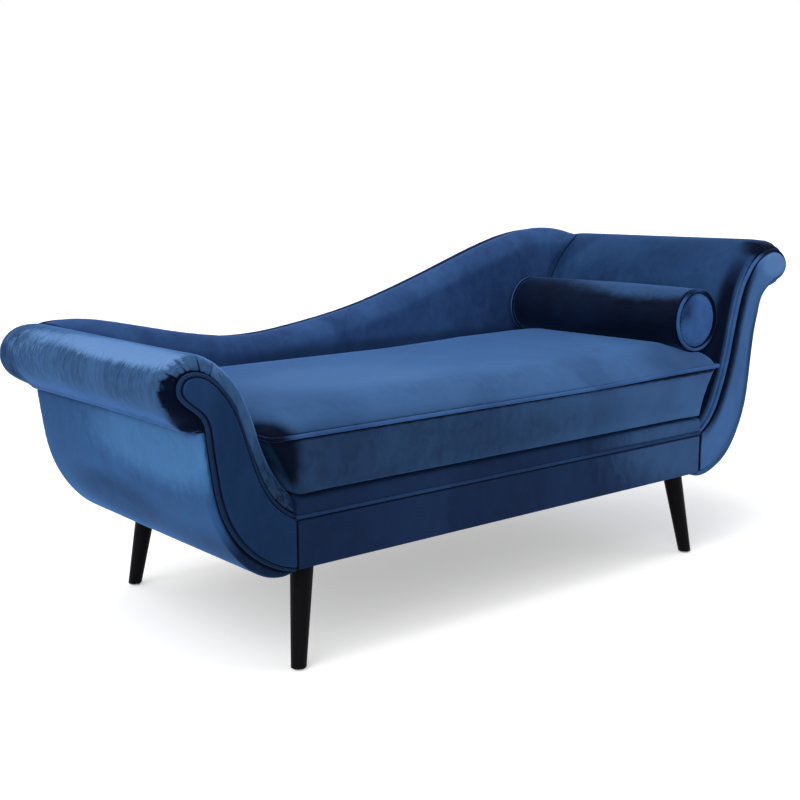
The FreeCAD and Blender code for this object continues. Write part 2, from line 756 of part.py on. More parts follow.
class Cushion:
    """The seat cushion: drawn-in borders under a piped edge, and a crowned top."""

    crown_insets = (5.0, 12.0, 22.0, 36.0, 56.0, 84.0, 124.0, crown_reach)
    under = ((90.0, 1.0), (30.0, 0.6))
    border = ((0.0, 0.0), (0.19, 0.75), (0.37, 1.0), (0.63, 1.0), (0.81, 0.75), (1.0, 0.0))

    def __init__(self, arms):
        welt = 2 * piping_radius + 2 * clearance
        self.top_half = min(p.pad_inner_u(edge_high) for p in arms) - welt
        self.bottom_half = min(p.pad_inner_u(edge_low) for p in arms) - 2 * clearance

    def body(self, shrink):
        """The cushion's form, with shrink taken off all round."""
        wires = []
        for inset, share in self.under:
            z = edge_low - cushion_under_crown * share + shrink
            wires.append(rounded_plan(self.bottom_half, z, inset + shrink))
        for share, draw in self.border:
            half = self.bottom_half + (self.top_half - self.bottom_half) * share
            z = edge_low + shrink + (cushion_border - 2 * shrink) * share
            wires.append(rounded_plan(half, z, cushion_draw_in * draw + shrink))
        for inset in self.crown_insets:
            wires.append(rounded_plan(self.top_half, crown_height(inset) - shrink, inset + shrink))
        return loft(wires)

    def piping(self):
        """The welt round the top edge, begun and ended at the middle of the front."""
        *sides, front = rounded_plan(self.top_half, edge_high, -piping_radius - clearance).Edges
        middle = front.CenterOfMass
        first, last = sides[0].Vertexes[0].Point, sides[-1].Vertexes[-1].Point
        path = Part.Wire([line(middle, first)] + sides + [line(last, middle)])
        return tube(path, middle, Vector(1, 0, 0), piping_radius)

    def zip_strip(self, half_length, half_height, y0, y1):
        """A strip along the middle of the back border."""
        middle = edge_low + cushion_border / 2
        return box(-half_length, half_length, y0, y1, middle - half_height, middle + half_height)

    def zip_slider(self, face, x):
        """The slider at the left end of the zip's coil, grooved to ride over it, with its pull."""
        middle = edge_low + cushion_border / 2
        end = x + slider_length
        near = face + clearance
        far = near + slider_thickness
        high = slider_height / 2
        free = zip_rib_width / 2 + clearance
        body = box(x, end, near, far, middle - high, middle + high)
        groove_top = face + zip_rib + clearance
        groove = box(x - over_cut, end + over_cut, face, groove_top, middle - free, middle + free)
        pull_x = x + (slider_length - pull_width) / 2
        low, top = middle - pull_length, middle + pull_tab
        pull = box(pull_x, pull_x + pull_width, far, far + pull_thickness, low, top)
        return body.cut(groove).fuse(pull).removeSplitter()

    def build(self):
        """Foam, cover with a zip slot, piping, zip and its slider."""
        face = cushion_back - cushion_draw_in
        half = zip_length / 2
        slot = self.zip_strip(half, zip_width / 2, face - 2 * cloth, face + over_cut)
        keep("cushion_cover", self.body(0.0).cut(self.body(cloth)).cut(slot))
        keep("cushion_foam", self.body(cloth + clearance))
        keep("cushion_piping", self.piping())

        tape = self.zip_strip(half - clearance, zip_width / 2 - clearance, face - cloth, face)
        rib_end = half - zip_rib_end
        rib = self.zip_strip(rib_end, zip_rib_width / 2, face - over_cut, face + zip_rib)
        keep("cushion_zip", tape.fuse(rib).removeSplitter())
        keep("cushion_zip_slider", self.zip_slider(face, -rib_end))


def bolster_rest(u, reach, cushion):
    """Height of the bolster's centre when it lies on the cushion's crown at u."""
    highest = 0.0
    for step in range(int(2 * reach)):
        along = step - reach
        inset = cushion.top_half - (u + along)
        if inset >= 0:
            highest = max(highest, crown_height(inset) + math.sqrt(reach * reach - along * along))
    return highest + clearance


def bolster_place(profile, cushion):
    """Centre of the bolster, on the cushion's crown and against the high arm's padding: (u, z)."""
    reach = bolster_radius + clearance
    ts = [profile.top * i / pad_samples for i in range(pad_samples + 1)]
    pad = [profile.at(t, profile.pad_depth(t)) for t in ts]
    u = seam_u
    for _ in range(search_steps):
        z = bolster_rest(u, reach, cushion)
        u += min(math.hypot(pu - u, pz - z) for pu, pz in pad) - reach
    return u, bolster_rest(u, reach, cushion)


def turned(points, u, z):
    """A body turned about the bolster's axis from an outline of (radius, y)."""
    at = [Vector(u + r, y, z) for r, y in points]
    face = Part.Face(Part.Wire([line(a, b) for a, b in zip(at, at[1:] + at[:1])]))
    return face.revolve(Vector(u, 0, z), Vector(0, 1, 0), 360)


def make_bolster(profile, cushion):
    """Bolster: foam, tube cover, two crowned end caps and two piping rings."""
    u, z = bolster_place(profile, cushion)
    front, back = bolster_back - bolster_length, bolster_back
    rim = bolster_radius - bolster_barrel
    shares = [i / turned_steps for i in range(turned_steps + 1)]
    barrel = [
        (rim + bolster_barrel * math.sin(math.pi * share), front + bolster_length * share)
        for share in shares
    ]
    inner = [(r - cloth, y) for r, y in barrel[::-1]]
    keep("bolster_cover", turned(barrel + inner, u, z))
    core = [(r - cloth - clearance, y) for r, y in barrel]
    keep("bolster_foam", turned([(0.0, front)] + core + [(0.0, back)], u, z))

    cap_radius = rim - 2 * piping_radius - clearance
    caps, rings = [], []
    for y, way in ((front, -1), (back, 1)):
        seat = y + way * clearance
        dome = []
        for share in shares:
            rise = bolster_cap_thickness + bolster_cap_crown * (1 - (1 - share) ** 2)
            dome.append((cap_radius * (1 - share), seat + way * rise))
        caps.append(turned([(0.0, seat), (cap_radius, seat)] + dome, u, z))
        centre = Vector(u, y + way * (piping_radius + clearance), z)
        rings.append(Part.makeTorus(rim - piping_radius, piping_radius, centre, Vector(0, 1, 0)))
    keep("bolster_end_caps", *caps)
    keep("bolster_pipings", *rings)


def main():
    make_seat_frame()
    make_legs()
    make_dust_cover()
    make_springs()
    make_seat_cover()
    low = make_arm(LOW_ARM, "left_arm")
    high = make_arm(HIGH_ARM, "right_arm")
    Back([low, high]).build()
    cushion = Cushion([low, high])
    cushion.build()
    make_bolster(high, cushion)

    front = -cushion_front + 2 * piping_radius + clearance
    origin_shift = Vector((low.reach - high.reach) / 2, (front - half_depth) / 2, 0)
    os.makedirs("parts", exist_ok=True)
    for name, shape in made.items():
        shape.translated(origin_shift).exportStep(f"parts/{name}.step")


main()
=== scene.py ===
"""Looks of a velvet chaise longue: padded arms, back and seat cushion, bolster, welts and legs."""

from __future__ import annotations

import json
import logging
import math
from collections.abc import Iterable
from dataclasses import dataclass, field
from enum import Enum

import bpy
import numpy as np
from mathutils import Matrix, Vector
from mathutils.bvhtree import BVHTree

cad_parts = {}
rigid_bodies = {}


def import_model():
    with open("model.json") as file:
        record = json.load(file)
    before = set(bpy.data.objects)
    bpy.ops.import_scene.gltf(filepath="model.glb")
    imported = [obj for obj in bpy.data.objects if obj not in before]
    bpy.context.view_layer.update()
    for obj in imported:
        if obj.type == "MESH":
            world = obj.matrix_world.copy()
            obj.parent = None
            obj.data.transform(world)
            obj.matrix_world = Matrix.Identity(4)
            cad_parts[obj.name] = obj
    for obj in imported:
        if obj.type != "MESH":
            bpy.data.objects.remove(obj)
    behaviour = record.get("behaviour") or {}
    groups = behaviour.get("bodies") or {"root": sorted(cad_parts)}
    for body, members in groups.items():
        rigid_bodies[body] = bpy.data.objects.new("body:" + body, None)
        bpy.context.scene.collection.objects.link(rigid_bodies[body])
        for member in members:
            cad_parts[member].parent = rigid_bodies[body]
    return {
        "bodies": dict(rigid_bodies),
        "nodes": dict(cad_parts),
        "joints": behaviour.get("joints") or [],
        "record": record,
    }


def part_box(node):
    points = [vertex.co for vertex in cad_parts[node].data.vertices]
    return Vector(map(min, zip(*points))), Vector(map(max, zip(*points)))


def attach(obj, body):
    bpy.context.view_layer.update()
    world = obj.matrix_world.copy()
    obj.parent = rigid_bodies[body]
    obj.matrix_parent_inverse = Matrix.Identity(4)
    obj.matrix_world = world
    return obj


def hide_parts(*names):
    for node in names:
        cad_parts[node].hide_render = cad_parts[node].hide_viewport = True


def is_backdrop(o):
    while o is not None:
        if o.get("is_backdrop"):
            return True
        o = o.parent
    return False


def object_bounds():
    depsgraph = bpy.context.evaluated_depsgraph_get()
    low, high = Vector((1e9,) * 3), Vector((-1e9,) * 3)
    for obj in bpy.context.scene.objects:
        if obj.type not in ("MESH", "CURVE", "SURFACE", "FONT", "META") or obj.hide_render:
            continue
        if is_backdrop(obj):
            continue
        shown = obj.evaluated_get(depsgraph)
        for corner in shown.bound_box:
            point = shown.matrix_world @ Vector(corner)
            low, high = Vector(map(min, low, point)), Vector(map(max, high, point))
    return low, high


Colour = tuple[float, float, float]
Points = np.ndarray

log = logging.getLogger("chaise")


class Side(Enum):
    """An arm: the low one on the left or the high one on the right."""

    LOW = "left"
    HIGH = "right"


class Frame:
    """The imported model, and the bodies that its pieces move with."""

    def __init__(self) -> None:
        """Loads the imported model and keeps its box."""
        self.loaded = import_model()
        self.nodes: dict[str, bpy.types.Object] = self.loaded["nodes"]
        self.slots = {row["node"]: row["material_slot"] for row in self.loaded["record"]["subparts"]}
        self.body_of = {
            node: body
            for body, members in self.loaded["record"]["behaviour"]["bodies"].items()
            for node in members
        }
        self.cad_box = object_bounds()
        self.known_trees: dict[str, BVHTree] = {}

    def tree(self, node: str) -> BVHTree:
        """A search tree over a node's faces, built at its first use.

        Args:
            node: Name of the node.

        Returns:
            The tree, in the model's own frame.
        """
        if node not in self.known_trees:
            mesh = self.nodes[node].data
            self.known_trees[node] = BVHTree.FromPolygons(
                [vertex.co for vertex in mesh.vertices], [tuple(face.vertices) for face in mesh.polygons]
            )
        return self.known_trees[node]

    def trees(self, nodes: Iterable[str]) -> list[BVHTree]:
        """The search trees of several nodes."""
        return [self.tree(node) for node in nodes]


# Shared tools


# Vertices nearer than this are one, and lengths below the other count as none
MERGE_DISTANCE = 1e-5
TINY = 1e-9


def select_only(piece: bpy.types.Object) -> None:
    """Selects one piece and makes it active.

    Args:
        piece: The piece to select.
    """
    bpy.ops.object.select_all(action="DESELECT")
    piece.select_set(True)
    bpy.context.view_layer.objects.active = piece


def apply_modifier(piece: bpy.types.Object, kind: str, **settings: object) -> None:
    """Adds a modifier to a piece, sets it and applies it.

    Args:
        piece: The piece to change.
        kind: The modifier's type.
        settings: Its properties by name.
    """
    select_only(piece)
    modifier = piece.modifiers.new(kind.title(), kind)
    for name, value in settings.items():
        setattr(modifier, name, value)
    bpy.ops.object.modifier_apply(modifier=modifier.name)


def points_of(piece: bpy.types.Object) -> Points:
    """The places of a piece's vertices, one row each.

    Args:
        piece: The piece to measure.

    Returns:
        The places, in the model's own frame.
    """
    flat = np.empty(len(piece.data.vertices) * 3)
    piece.data.vertices.foreach_get("co", flat)
    return flat.reshape(-1, 3)


def normals_of(piece: bpy.types.Object) -> Points:
    """The directions that a piece's surface faces at its vertices, one row each.

    Args:
        piece: The piece to measure.

    Returns:
        The directions, each of length 1.
    """
    flat = np.empty(len(piece.data.vertices) * 3)
    piece.data.vertices.foreach_get("normal", flat)
    return flat.reshape(-1, 3)


def move_points(piece: bpy.types.Object, points: Points) -> None:
    """Puts a piece's vertices at new places."""
    piece.data.vertices.foreach_set("co", points.ravel())
    piece.data.update()


def smooth_step(low: float, high: float, values: Points) -> Points:
    """A smooth climb from 0 at low to 1 at high."""
    share = np.clip((values - low) / (high - low), 0.0, 1.0)
    return share * share * (3.0 - 2.0 * share)


def fade(full: float, gone: float, values: Points) -> Points:
    """A smooth fall from 1 at full to 0 at gone."""
    return 1.0 - smooth_step(full, gone, values)


def within(points: Points, node: str, axes: str) -> Points:
    """How deep points lie in a node's box.

    Args:
        points: The points, one row each.
        node: Name of the node.
        axes: The axes that count, such as "xy".

    Returns:
        The distances from the nearest of the box's sides across those axes.
    """
    low, high = (np.array(corner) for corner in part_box(node))
    depths = np.minimum(points - low, high - points)
    return depths[:, ["xyz".index(axis) for axis in axes]].min(axis=1)


def round_of(node: str) -> tuple[tuple[float, float], float]:
    """The centre, as X and Z, and the radius of a node that is round about Y."""
    low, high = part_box(node)
    return ((low.x + high.x) / 2, (low.z + high.z) / 2), (high.z - low.z) / 2


def polar(points: Points, centre: tuple[float, float]) -> tuple[Points, Points, Points]:
    """Where points lie round a centre, seen along Y.

    Args:
        points: The points, one row each.
        centre: X and Z of the centre.

    Returns:
        Their X and Z from the centre, how far out that is, and their angle from the top.
    """
    out = points[:, [0, 2]] - np.array(centre)
    radius = np.maximum(np.linalg.norm(out, axis=1), TINY)
    return out, radius, np.arctan2(out[:, 0], out[:, 1])


def push_out(points: Points, out: Points, radius: Points, amount: Points) -> None:
    """Moves points away from the centre that polar measured them from."""
    points[:, [0, 2]] += out / radius[:, None] * amount[:, None]


def uneven_wave(phase: Points, along: Points, sway: float, rate: float) -> Points:
    """A wave of gathers whose crests shift by a sway, in radians, at a rate along the seam."""
    return np.sin(phase + sway * np.sin(along * rate))


def nearest(trees: list[BVHTree], points: Points, reach: float) -> tuple[Points, Points]:
    """How far each point is from the nearest of several surfaces, and which way that is.

    Args:
        trees: The surfaces' search trees.
        points: The points, one row each.
        reach: The greatest distance that matters.

    Returns:
        The distances, none above reach, and the directions, which are zero past reach.
    """
    found = np.full(len(points), reach)
    towards = np.zeros_like(points)
    for tree in trees:
        for index, point in enumerate(points):
            place, _, _, distance = tree.find_nearest(point, reach)
            if distance is not None and distance < found[index]:
                found[index] = distance
                towards[index] = np.array(place) - point
    length = np.maximum(np.linalg.norm(towards, axis=1), TINY)
    return found, towards / length[:, None]


def mark(piece: bpy.types.Object, name: str, values: Points) -> None:
    """Keeps a number for each point of a piece, which its finish reads.

    Args:
        piece: The piece to mark.
        name: The numbers' name.
        values: One number for each point.
    """
    layers = piece.data.attributes
    layer = layers.get(name) or layers.new(name, "FLOAT", "POINT")
    layer.data.foreach_set("value", values.astype(np.float32))


def marked(piece: bpy.types.Object, name: str) -> Points:
    """The numbers kept for a piece's points.

    Args:
        piece: The marked piece.
        name: The numbers' name.

    Returns:
        One number for each point.
    """
    layer = piece.data.attributes[name].data
    values = np.empty(len(layer), dtype=np.float32)
    layer.foreach_get("value", values)
    return values


def clear_selection(piece: bpy.types.Object, kind: str) -> None:
    """Sets what edit mode selects on a piece, VERT or FACE, with nothing selected yet.

    Args:
        piece: The piece to edit.
        kind: What is selected.
    """
    select_only(piece)
    bpy.ops.object.mode_set(mode="EDIT")
    bpy.ops.mesh.select_mode(type=kind)
    bpy.ops.mesh.select_all(action="DESELECT")
    bpy.ops.object.mode_set(mode="OBJECT")


def refine(piece: bpy.types.Object, chosen: Points) -> None:
    """Cuts in four the faces whose points are all chosen, for folds finer than the rest.

    Args:
        piece: The piece to change.
        chosen: Whether each point is in the finer region.
    """
    clear_selection(piece, "VERT")
    piece.data.vertices.foreach_set("select", chosen)
    bpy.ops.object.mode_set(mode="EDIT")
    bpy.ops.mesh.subdivide(number_cuts=1)
    bpy.ops.object.mode_set(mode="OBJECT")
    clear_selection(piece, "FACE")


def merged_copy(frame: Frame, node: str, name: str) -> bpy.types.Object:
    """A new object with a copy of a node's mesh, whose loose triangles are joined.

    Args:
        frame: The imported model.
        node: The node to copy.
        name: The new piece's name.

    Returns:
        The new object, at the origin.
    """
    piece = bpy.data.objects.new(name, frame.nodes[node].data.copy())
    bpy.context.scene.collection.objects.link(piece)
    piece.data.materials.clear()
    select_only(piece)
    bpy.ops.object.mode_set(mode="EDIT")
    bpy.ops.mesh.select_all(action="SELECT")
    bpy.ops.mesh.remove_doubles(threshold=MERGE_DISTANCE)
    bpy.ops.object.mode_set(mode="OBJECT")
    if piece.data.has_custom_normals:
        bpy.ops.mesh.customdata_custom_splitnormals_clear()
    return piece


def remesh(piece: bpy.types.Object, voxel: float, rounds: int) -> None:
    """Rebuilds a closed piece from even squares and takes off their steps.

    Args:
        piece: The piece to rebuild.
        voxel: Side of a square.
        rounds: How often its points are evened out.
    """
    select_only(piece)
    piece.data.remesh_voxel_size = voxel
    piece.data.use_remesh_fix_poles = False
    bpy.ops.object.voxel_remesh()
    apply_modifier(piece, "SMOOTH", factor=0.5, iterations=rounds)


def shade(piece: bpy.types.Object, angle: float = 50.0) -> None:
    """Shades a piece smooth, except over edges sharper than an angle in degrees."""
    select_only(piece)
    bpy.ops.object.shade_smooth_by_angle(angle=math.radians(angle))


# Width of a cloud in a clouds texture whose scale is 1
CLOUD_WIDTH = 0.25


def dent(piece: bpy.types.Object, size: float, depth: float, seed: float) -> None:
    """Gives a padded surface the soft unevenness of its filling.

    Args:
        piece: The piece to change.
        size: Size of the hollows.
        depth: Height from hollow to crest.
        seed: Where in the pattern the piece lies, so that pieces differ.
    """
    texture = bpy.data.textures.new(f"{piece.name}_unevenness", "CLOUDS")
    texture.noise_scale = size / CLOUD_WIDTH
    texture.noise_depth = 1
    points = points_of(piece)
    move_points(piece, points + seed)
    apply_modifier(piece, "DISPLACE", texture=texture, strength=depth, mid_level=0.5, texture_coords="LOCAL")
    move_points(piece, points_of(piece) - seed)


# Shader groups


# Sockets of a mix node for colours, by number, because several share a name
MIX_SHARE, MIX_FIRST, MIX_SECOND, MIX_RESULT = 0, 6, 7, 2


class ShaderGroup:
    """A node group that reads a place and some numbers, built once and used by many materials."""

    name = ""
    numbers: tuple[tuple[str, float], ...] = ()
    outputs: tuple[str, ...] = ()

    def tree(self) -> bpy.types.ShaderNodeTree:
        """The group's node tree, built at its first use.

        Returns:
            The tree, which every material shares.
        """
        found = bpy.data.node_groups.get(self.name)
        if found:
            return found
        tree = bpy.data.node_groups.new(self.name, "ShaderNodeTree")
        tree.interface.new_socket(name="Place", in_out="INPUT", socket_type="NodeSocketVector")
        for name, value in self.numbers:
            socket = tree.interface.new_socket(name=name, in_out="INPUT", socket_type="NodeSocketFloat")
            socket.default_value = value
        for name in self.outputs:
            tree.interface.new_socket(name=name, in_out="OUTPUT", socket_type="NodeSocketFloat")
        self.fill(Wiring(tree))
        return tree

    def fill(self, wiring: Wiring) -> None:
        """Puts the group's nodes in."""
        raise NotImplementedError


@dataclass
class Wiring:
    """Adds nodes to a tree and joins them."""

    tree: bpy.types.NodeTree

    def node(
        self, kind: str, inputs: dict[str | int, object] | None = None, **settings: object
    ) -> bpy.types.Node:
        """Adds a node.

        Args:
            kind: The node's type.
            inputs: A value, or another node's output, for each input by name or number.
            settings: The node's properties by name.

        Returns:
            The new node.
        """
        made = self.tree.nodes.new(kind)
        for name, value in settings.items():
            setattr(made, name, value)
        for key, value in (inputs or {}).items():
            if isinstance(value, bpy.types.NodeSocket):
                self.tree.links.new(value, made.inputs[key])
            else:
                made.inputs[key].default_value = value
        return made

    def group(self, group: ShaderGroup, inputs: dict[str, object]) -> bpy.types.Node:
        """Adds a shader group, with its inputs by name."""
        return self.node("ShaderNodeGroup", inputs, node_tree=group.tree())

    def math(self, operation: str, *values: object) -> bpy.types.NodeSocket:
        """A sum, product or other operation on numbers or outputs."""
        return self.node("ShaderNodeMath", dict(enumerate(values)), operation=operation).outputs[0]

    def weigh(self, first: object, weight: object, second: object, other: float) -> bpy.types.NodeSocket:
        """The sum of two numbers, each times its weight."""
        return self.math("MULTIPLY_ADD", first, weight, self.math("MULTIPLY", second, other))

    def climb(self, value: object, low: object, high: object) -> bpy.types.NodeSocket:
        """A smooth climb of a value from 0 at low to 1 at high."""
        inputs = {"Value": value, "From Min": low, "From Max": high}
        return self.node("ShaderNodeMapRange", inputs, interpolation_type="SMOOTHSTEP").outputs["Result"]

    def between(self, share: object, low: float, high: float) -> bpy.types.NodeSocket:
        """The number at a share of the way from low to high."""
        inputs = {"Value": share, "To Min": low, "To Max": high}
        return self.node("ShaderNodeMapRange", inputs).outputs["Result"]

    def mix(self, share: object, first: object, second: object) -> bpy.types.NodeSocket:
        """A mix of two colours."""
        inputs = {MIX_SHARE: share, MIX_FIRST: first, MIX_SECOND: second}
        return self.node("ShaderNodeMix", inputs, data_type="RGBA").outputs[MIX_RESULT]

    def noise(
        self, place: bpy.types.NodeSocket, scale: object, detail: float, **more: float
    ) -> bpy.types.NodeSocket:
        """A cloudy pattern.

        Args:
            place: The coordinates.
            scale: How many clouds to a metre.
            detail: How many finer layers it has.
            more: Other inputs by name.

        Returns:
            The pattern's value.
        """
        inputs = {"Vector": place, "Scale": scale, "Detail": detail, **more}
        return self.node("ShaderNodeTexNoise", inputs).outputs["Fac"]


def fresh_wiring(holder: bpy.types.Material | bpy.types.World) -> Wiring:
    """Empties a material or world of its nodes, so that new ones can be put in.

    Args:
        holder: The material or world.

    Returns:
        Its empty node tree, ready for nodes.
    """
    holder.use_nodes = True
    holder.node_tree.nodes.clear()
    return Wiring(holder.node_tree)


class NapGroup(ShaderGroup):
    """Cut pile: soft clouds where hands have turned it, brush marks along it, and the pile itself.

    The painted light input is painted light and shade: above 0 it paints a highlight where the velvet should
    look lit, and below 0 it paints shade in seams, grooves and shadowed places, partly also where the pile
    lies the other way. The brush marks break up the edges of both.
    """

    name = "Nap"
    # Of the numbers, the fifth is a point's painted light and shade; of the outputs, the last two are the
    # shares of painted shade and painted highlight.
    numbers = (
        ("Cloud Scale", 5.0), ("Brush Scale", 26.0), ("Pile Scale", 620.0),
        ("Brush", 0.3), ("Painted Light", 0.0), ("Ragged Edge", 0.05),
    )
    outputs = ("Shade", "Height", "Painted Shade", "Lit")
    cloud_range = (0.36, 0.66)
    brush_range = (0.30, 0.72)
    cloud_weight = 0.6
    pile_weight = 0.2

    def fill(self, wiring: Wiring) -> None:
        """Puts the group's nodes in.

        Args:
            wiring: The group's nodes.
        """
        given = wiring.node("NodeGroupInput").outputs
        place, turn, edge = given["Place"], given["Painted Light"], given["Ragged Edge"]
        clouds = wiring.noise(place, given["Cloud Scale"], 3.0, Roughness=0.5, Distortion=0.7)
        brush = wiring.noise(place, given["Brush Scale"], 3.0, Roughness=0.6, Distortion=1.2)
        pile = wiring.noise(place, given["Pile Scale"], 2.0, Roughness=0.7)
        marks = wiring.climb(brush, *self.brush_range)
        turned = wiring.climb(clouds, *self.cloud_range)
        worn = wiring.weigh(marks, given["Brush"], turned, self.cloud_weight)
        ragged = wiring.math("MULTIPLY", wiring.math("MULTIPLY_ADD", marks, 2.0, -1.0), edge)
        wiring.node("NodeGroupOutput", {
            "Shade": wiring.math("MULTIPLY_ADD", pile, self.pile_weight, worn),
            "Height": wiring.weigh(brush, 0.5, pile, 0.5),
            # Painted shade where the painted light and shade is below 0, painted highlight where it is above,
            # with ragged edges.
            "Painted Shade": wiring.climb(wiring.math("SUBTRACT", ragged, turn), edge, 1.0),
            "Lit": wiring.climb(wiring.math("ADD", ragged, turn), edge, 1.0),
        })


class GrainGroup(ShaderGroup):
    """Wood grain along the piece's own Z axis: wavy rings stretched along it, and fine pores."""

    name = "Grain"
    numbers = (("Ring Scale", 60.0), ("Pore Scale", 700.0))
    outputs = ("Grain", "Height")
    stretch = (1.0, 1.0, 0.06)
    ring_range = (0.3, 0.7)
    pore_weight = 0.35

    def fill(self, wiring: Wiring) -> None:
        """Puts the group's nodes in.

        Args:
            wiring: The group's nodes.
        """
        given = wiring.node("NodeGroupInput").outputs
        drawn = wiring.node("ShaderNodeMapping", {"Vector": given["Place"], "Scale": self.stretch}).outputs[0]
        rings = wiring.noise(drawn, given["Ring Scale"], 4.0, Distortion=1.5)
        pores = wiring.noise(drawn, given["Pore Scale"], 2.0)
        grain = wiring.math("MULTIPLY_ADD", pores, self.pore_weight, wiring.climb(rings, *self.ring_range))
        wiring.node("NodeGroupOutput", {"Grain": grain, "Height": wiring.weigh(pores, 0.6, rings, 0.4)})


class WeaveGroup(ShaderGroup):
    """A plain weave of threads across and along, with uneven threads."""

    name = "Weave"
    numbers = (("Threads", 500.0),)
    outputs = ("Thread", "Height")
    slub_scale = 90.0

    def fill(self, wiring: Wiring) -> None:
        """Puts the group's nodes in.

        Args:
            wiring: The group's nodes.
        """
        given = wiring.node("NodeGroupInput").outputs
        inputs = {"Vector": given["Place"], "Scale": given["Threads"], "Distortion": 0.6, "Detail": 1.0}
        waves = [
            wiring.node("ShaderNodeTexWave", inputs, bands_direction=direction).outputs["Fac"]
            for direction in ("X", "Y")
        ]
        height = wiring.math("MAXIMUM", *waves)
        slubs = wiring.noise(given["Place"], self.slub_scale, 2.0)
        wiring.node("NodeGroupOutput", {"Thread": wiring.weigh(slubs, 0.6, height, 0.4), "Height": height})


class FleckGroup(ShaderGroup):
    """Fine scratches and specks that make a hard surface less even."""

    name = "Fleck"
    numbers = (("Scale", 240.0),)
    outputs = ("Fleck", "Height")
    coarse_share = 0.12

    def fill(self, wiring: Wiring) -> None:
        """Puts the group's nodes in.

        Args:
            wiring: The group's nodes.
        """
        given = wiring.node("NodeGroupInput").outputs
        coarse_scale = wiring.math("MULTIPLY", given["Scale"], self.coarse_share)
        coarse = wiring.noise(given["Place"], coarse_scale, 3.0)
        fine = wiring.noise(given["Place"], given["Scale"], 3.0, Roughness=0.7)
        wiring.node("NodeGroupOutput", {"Fleck": wiring.weigh(coarse, 0.6, fine, 0.4), "Height": fine})


NAP = NapGroup()
GRAIN = GrainGroup()
WEAVE = WeaveGroup()
FLECK = FleckGroup()


# Finishes


@dataclass(frozen=True)
class Finish:
    """A finish whose pattern comes from one shader group.

    The colours are those of the pattern's low and high places. Velvet also has a painted shade colour, for
    its seams, grooves and shadows, and a painted highlight colour for where it should look lit.
    """

    name: str
    low: Colour
    high: Colour
    roughness: tuple[float, float]
    bump: float = 0.15
    bump_distance: float = 0.0004
    rotation: tuple[float, float, float] = (0.0, 0.0, 0.0)
    stretch: tuple[float, float, float] = (1.0, 1.0, 1.0)
    metallic: float = 0.0
    specular: float = 0.5
    coat: float = 0.0
    sheen: float = 0.0
    sheen_roughness: float = 0.5
    sheen_tint: Colour = (1.0, 1.0, 1.0)
    group: ShaderGroup = FLECK
    settings: tuple[tuple[str, float], ...] = ()
    # Painted shade and painted highlight colours
    deep: Colour | None = None
    lit: Colour | None = None

    def pattern(self, wiring: Wiring) -> bpy.types.bpy_prop_collection:
        """Adds the finish's shader group, placed on the piece's own coordinates.

        Args:
            wiring: The material's nodes.

        Returns:
            The group's outputs, of which the first is its value and the second its height.
        """
        place = wiring.node("ShaderNodeTexCoord").outputs["Object"]
        mapping = {"Vector": place, "Rotation": self.rotation, "Scale": self.stretch}
        inputs = {"Place": wiring.node("ShaderNodeMapping", mapping).outputs[0], **dict(self.settings)}
        # Velvet reads the painted light and shade marked on each point of its pieces.
        if self.deep:
            inputs["Painted Light"] = wiring.node("ShaderNodeAttribute", attribute_name="turn").outputs["Fac"]
        return wiring.group(self.group, inputs).outputs

    def colour(self, wiring: Wiring, pattern: bpy.types.bpy_prop_collection) -> bpy.types.NodeSocket:
        """Mixes the finish's colours.

        Args:
            wiring: The material's nodes.
            pattern: The shader group's outputs.

        Returns:
            The colour of the surface.
        """
        colour = wiring.mix(pattern[0], (*self.low, 1.0), (*self.high, 1.0))
        # Painted highlight, then painted shade, over the pattern's colour
        if self.lit:
            colour = wiring.mix(pattern["Lit"], colour, (*self.lit, 1.0))
        if self.deep:
            colour = wiring.mix(pattern["Painted Shade"], colour, (*self.deep, 1.0))
        return colour

    def material(self) -> bpy.types.Material:
        """The Blender material, built at its first use.

        Returns:
            The material, which every piece of this finish shares.
        """
        found = bpy.data.materials.get(self.name)
        if found:
            return found
        made = bpy.data.materials.new(self.name)
        wiring = fresh_wiring(made)
        pattern = self.pattern(wiring)
        bump = {"Height": pattern[1], "Strength": self.bump, "Distance": self.bump_distance}
        shader = wiring.node("ShaderNodeBsdfPrincipled", {
            "Base Color": self.colour(wiring, pattern),
            "Roughness": wiring.between(pattern[0], *self.roughness),
            "Normal": wiring.node("ShaderNodeBump", bump).outputs["Normal"],
            "Metallic": self.metallic,
            "Specular IOR Level": self.specular,
            "Coat Weight": self.coat,
            "Sheen Weight": self.sheen,
            "Sheen Roughness": self.sheen_roughness,
            "Sheen Tint": (*self.sheen_tint, 1.0),
        })
        wiring.node("ShaderNodeOutputMaterial", {"Surface": shader.outputs["BSDF"]})
        return made


def velvet(
    name: str, low: Colour, high: Colour, sheen: float, lit: Colour | None = None,
    brush: float = 0.3, brush_scale: float = 26.0, ragged: float = 0.05,
    stretch: tuple[float, float, float] = (1.0, 1.0, 0.7),
) -> Finish:
    """Blue velvet as it shows on one panel, where its pile lies one way, coloured lighter or darker for how
    light falls on that panel: painted light and shade.

    Args:
        name: The finish's name.
        low: Colour where the pile stands up.
        high: Colour where the pile lies down.
        sheen: How much light the pile's tips catch.
        lit: Painted highlight colour for where the piece is marked lit, or nothing for the high one.
        brush: How strongly the brush marks show.
        brush_scale: How many brush marks to a metre.
        ragged: How far the brush marks break up the edges of painted light and shade.
        stretch: Scale of the pattern along each axis: below 1 draws it out.

    Returns:
        The finish.
    """
    return Finish(
        name=name,
        low=low,
        high=high,
        roughness=(0.62, 0.82),
        bump=0.25,
        bump_distance=0.0006,
        stretch=stretch,
        specular=0.03,
        sheen=sheen,
        sheen_roughness=0.32,
        sheen_tint=(0.14, 0.38, 0.95),
        group=NAP,
        settings=(("Brush", brush), ("Brush Scale", brush_scale), ("Ragged Edge", ragged)),
        # Colours of painted shade and painted highlight
        deep=(0.0010, 0.0030, 0.0120),
        lit=lit or high,
    )
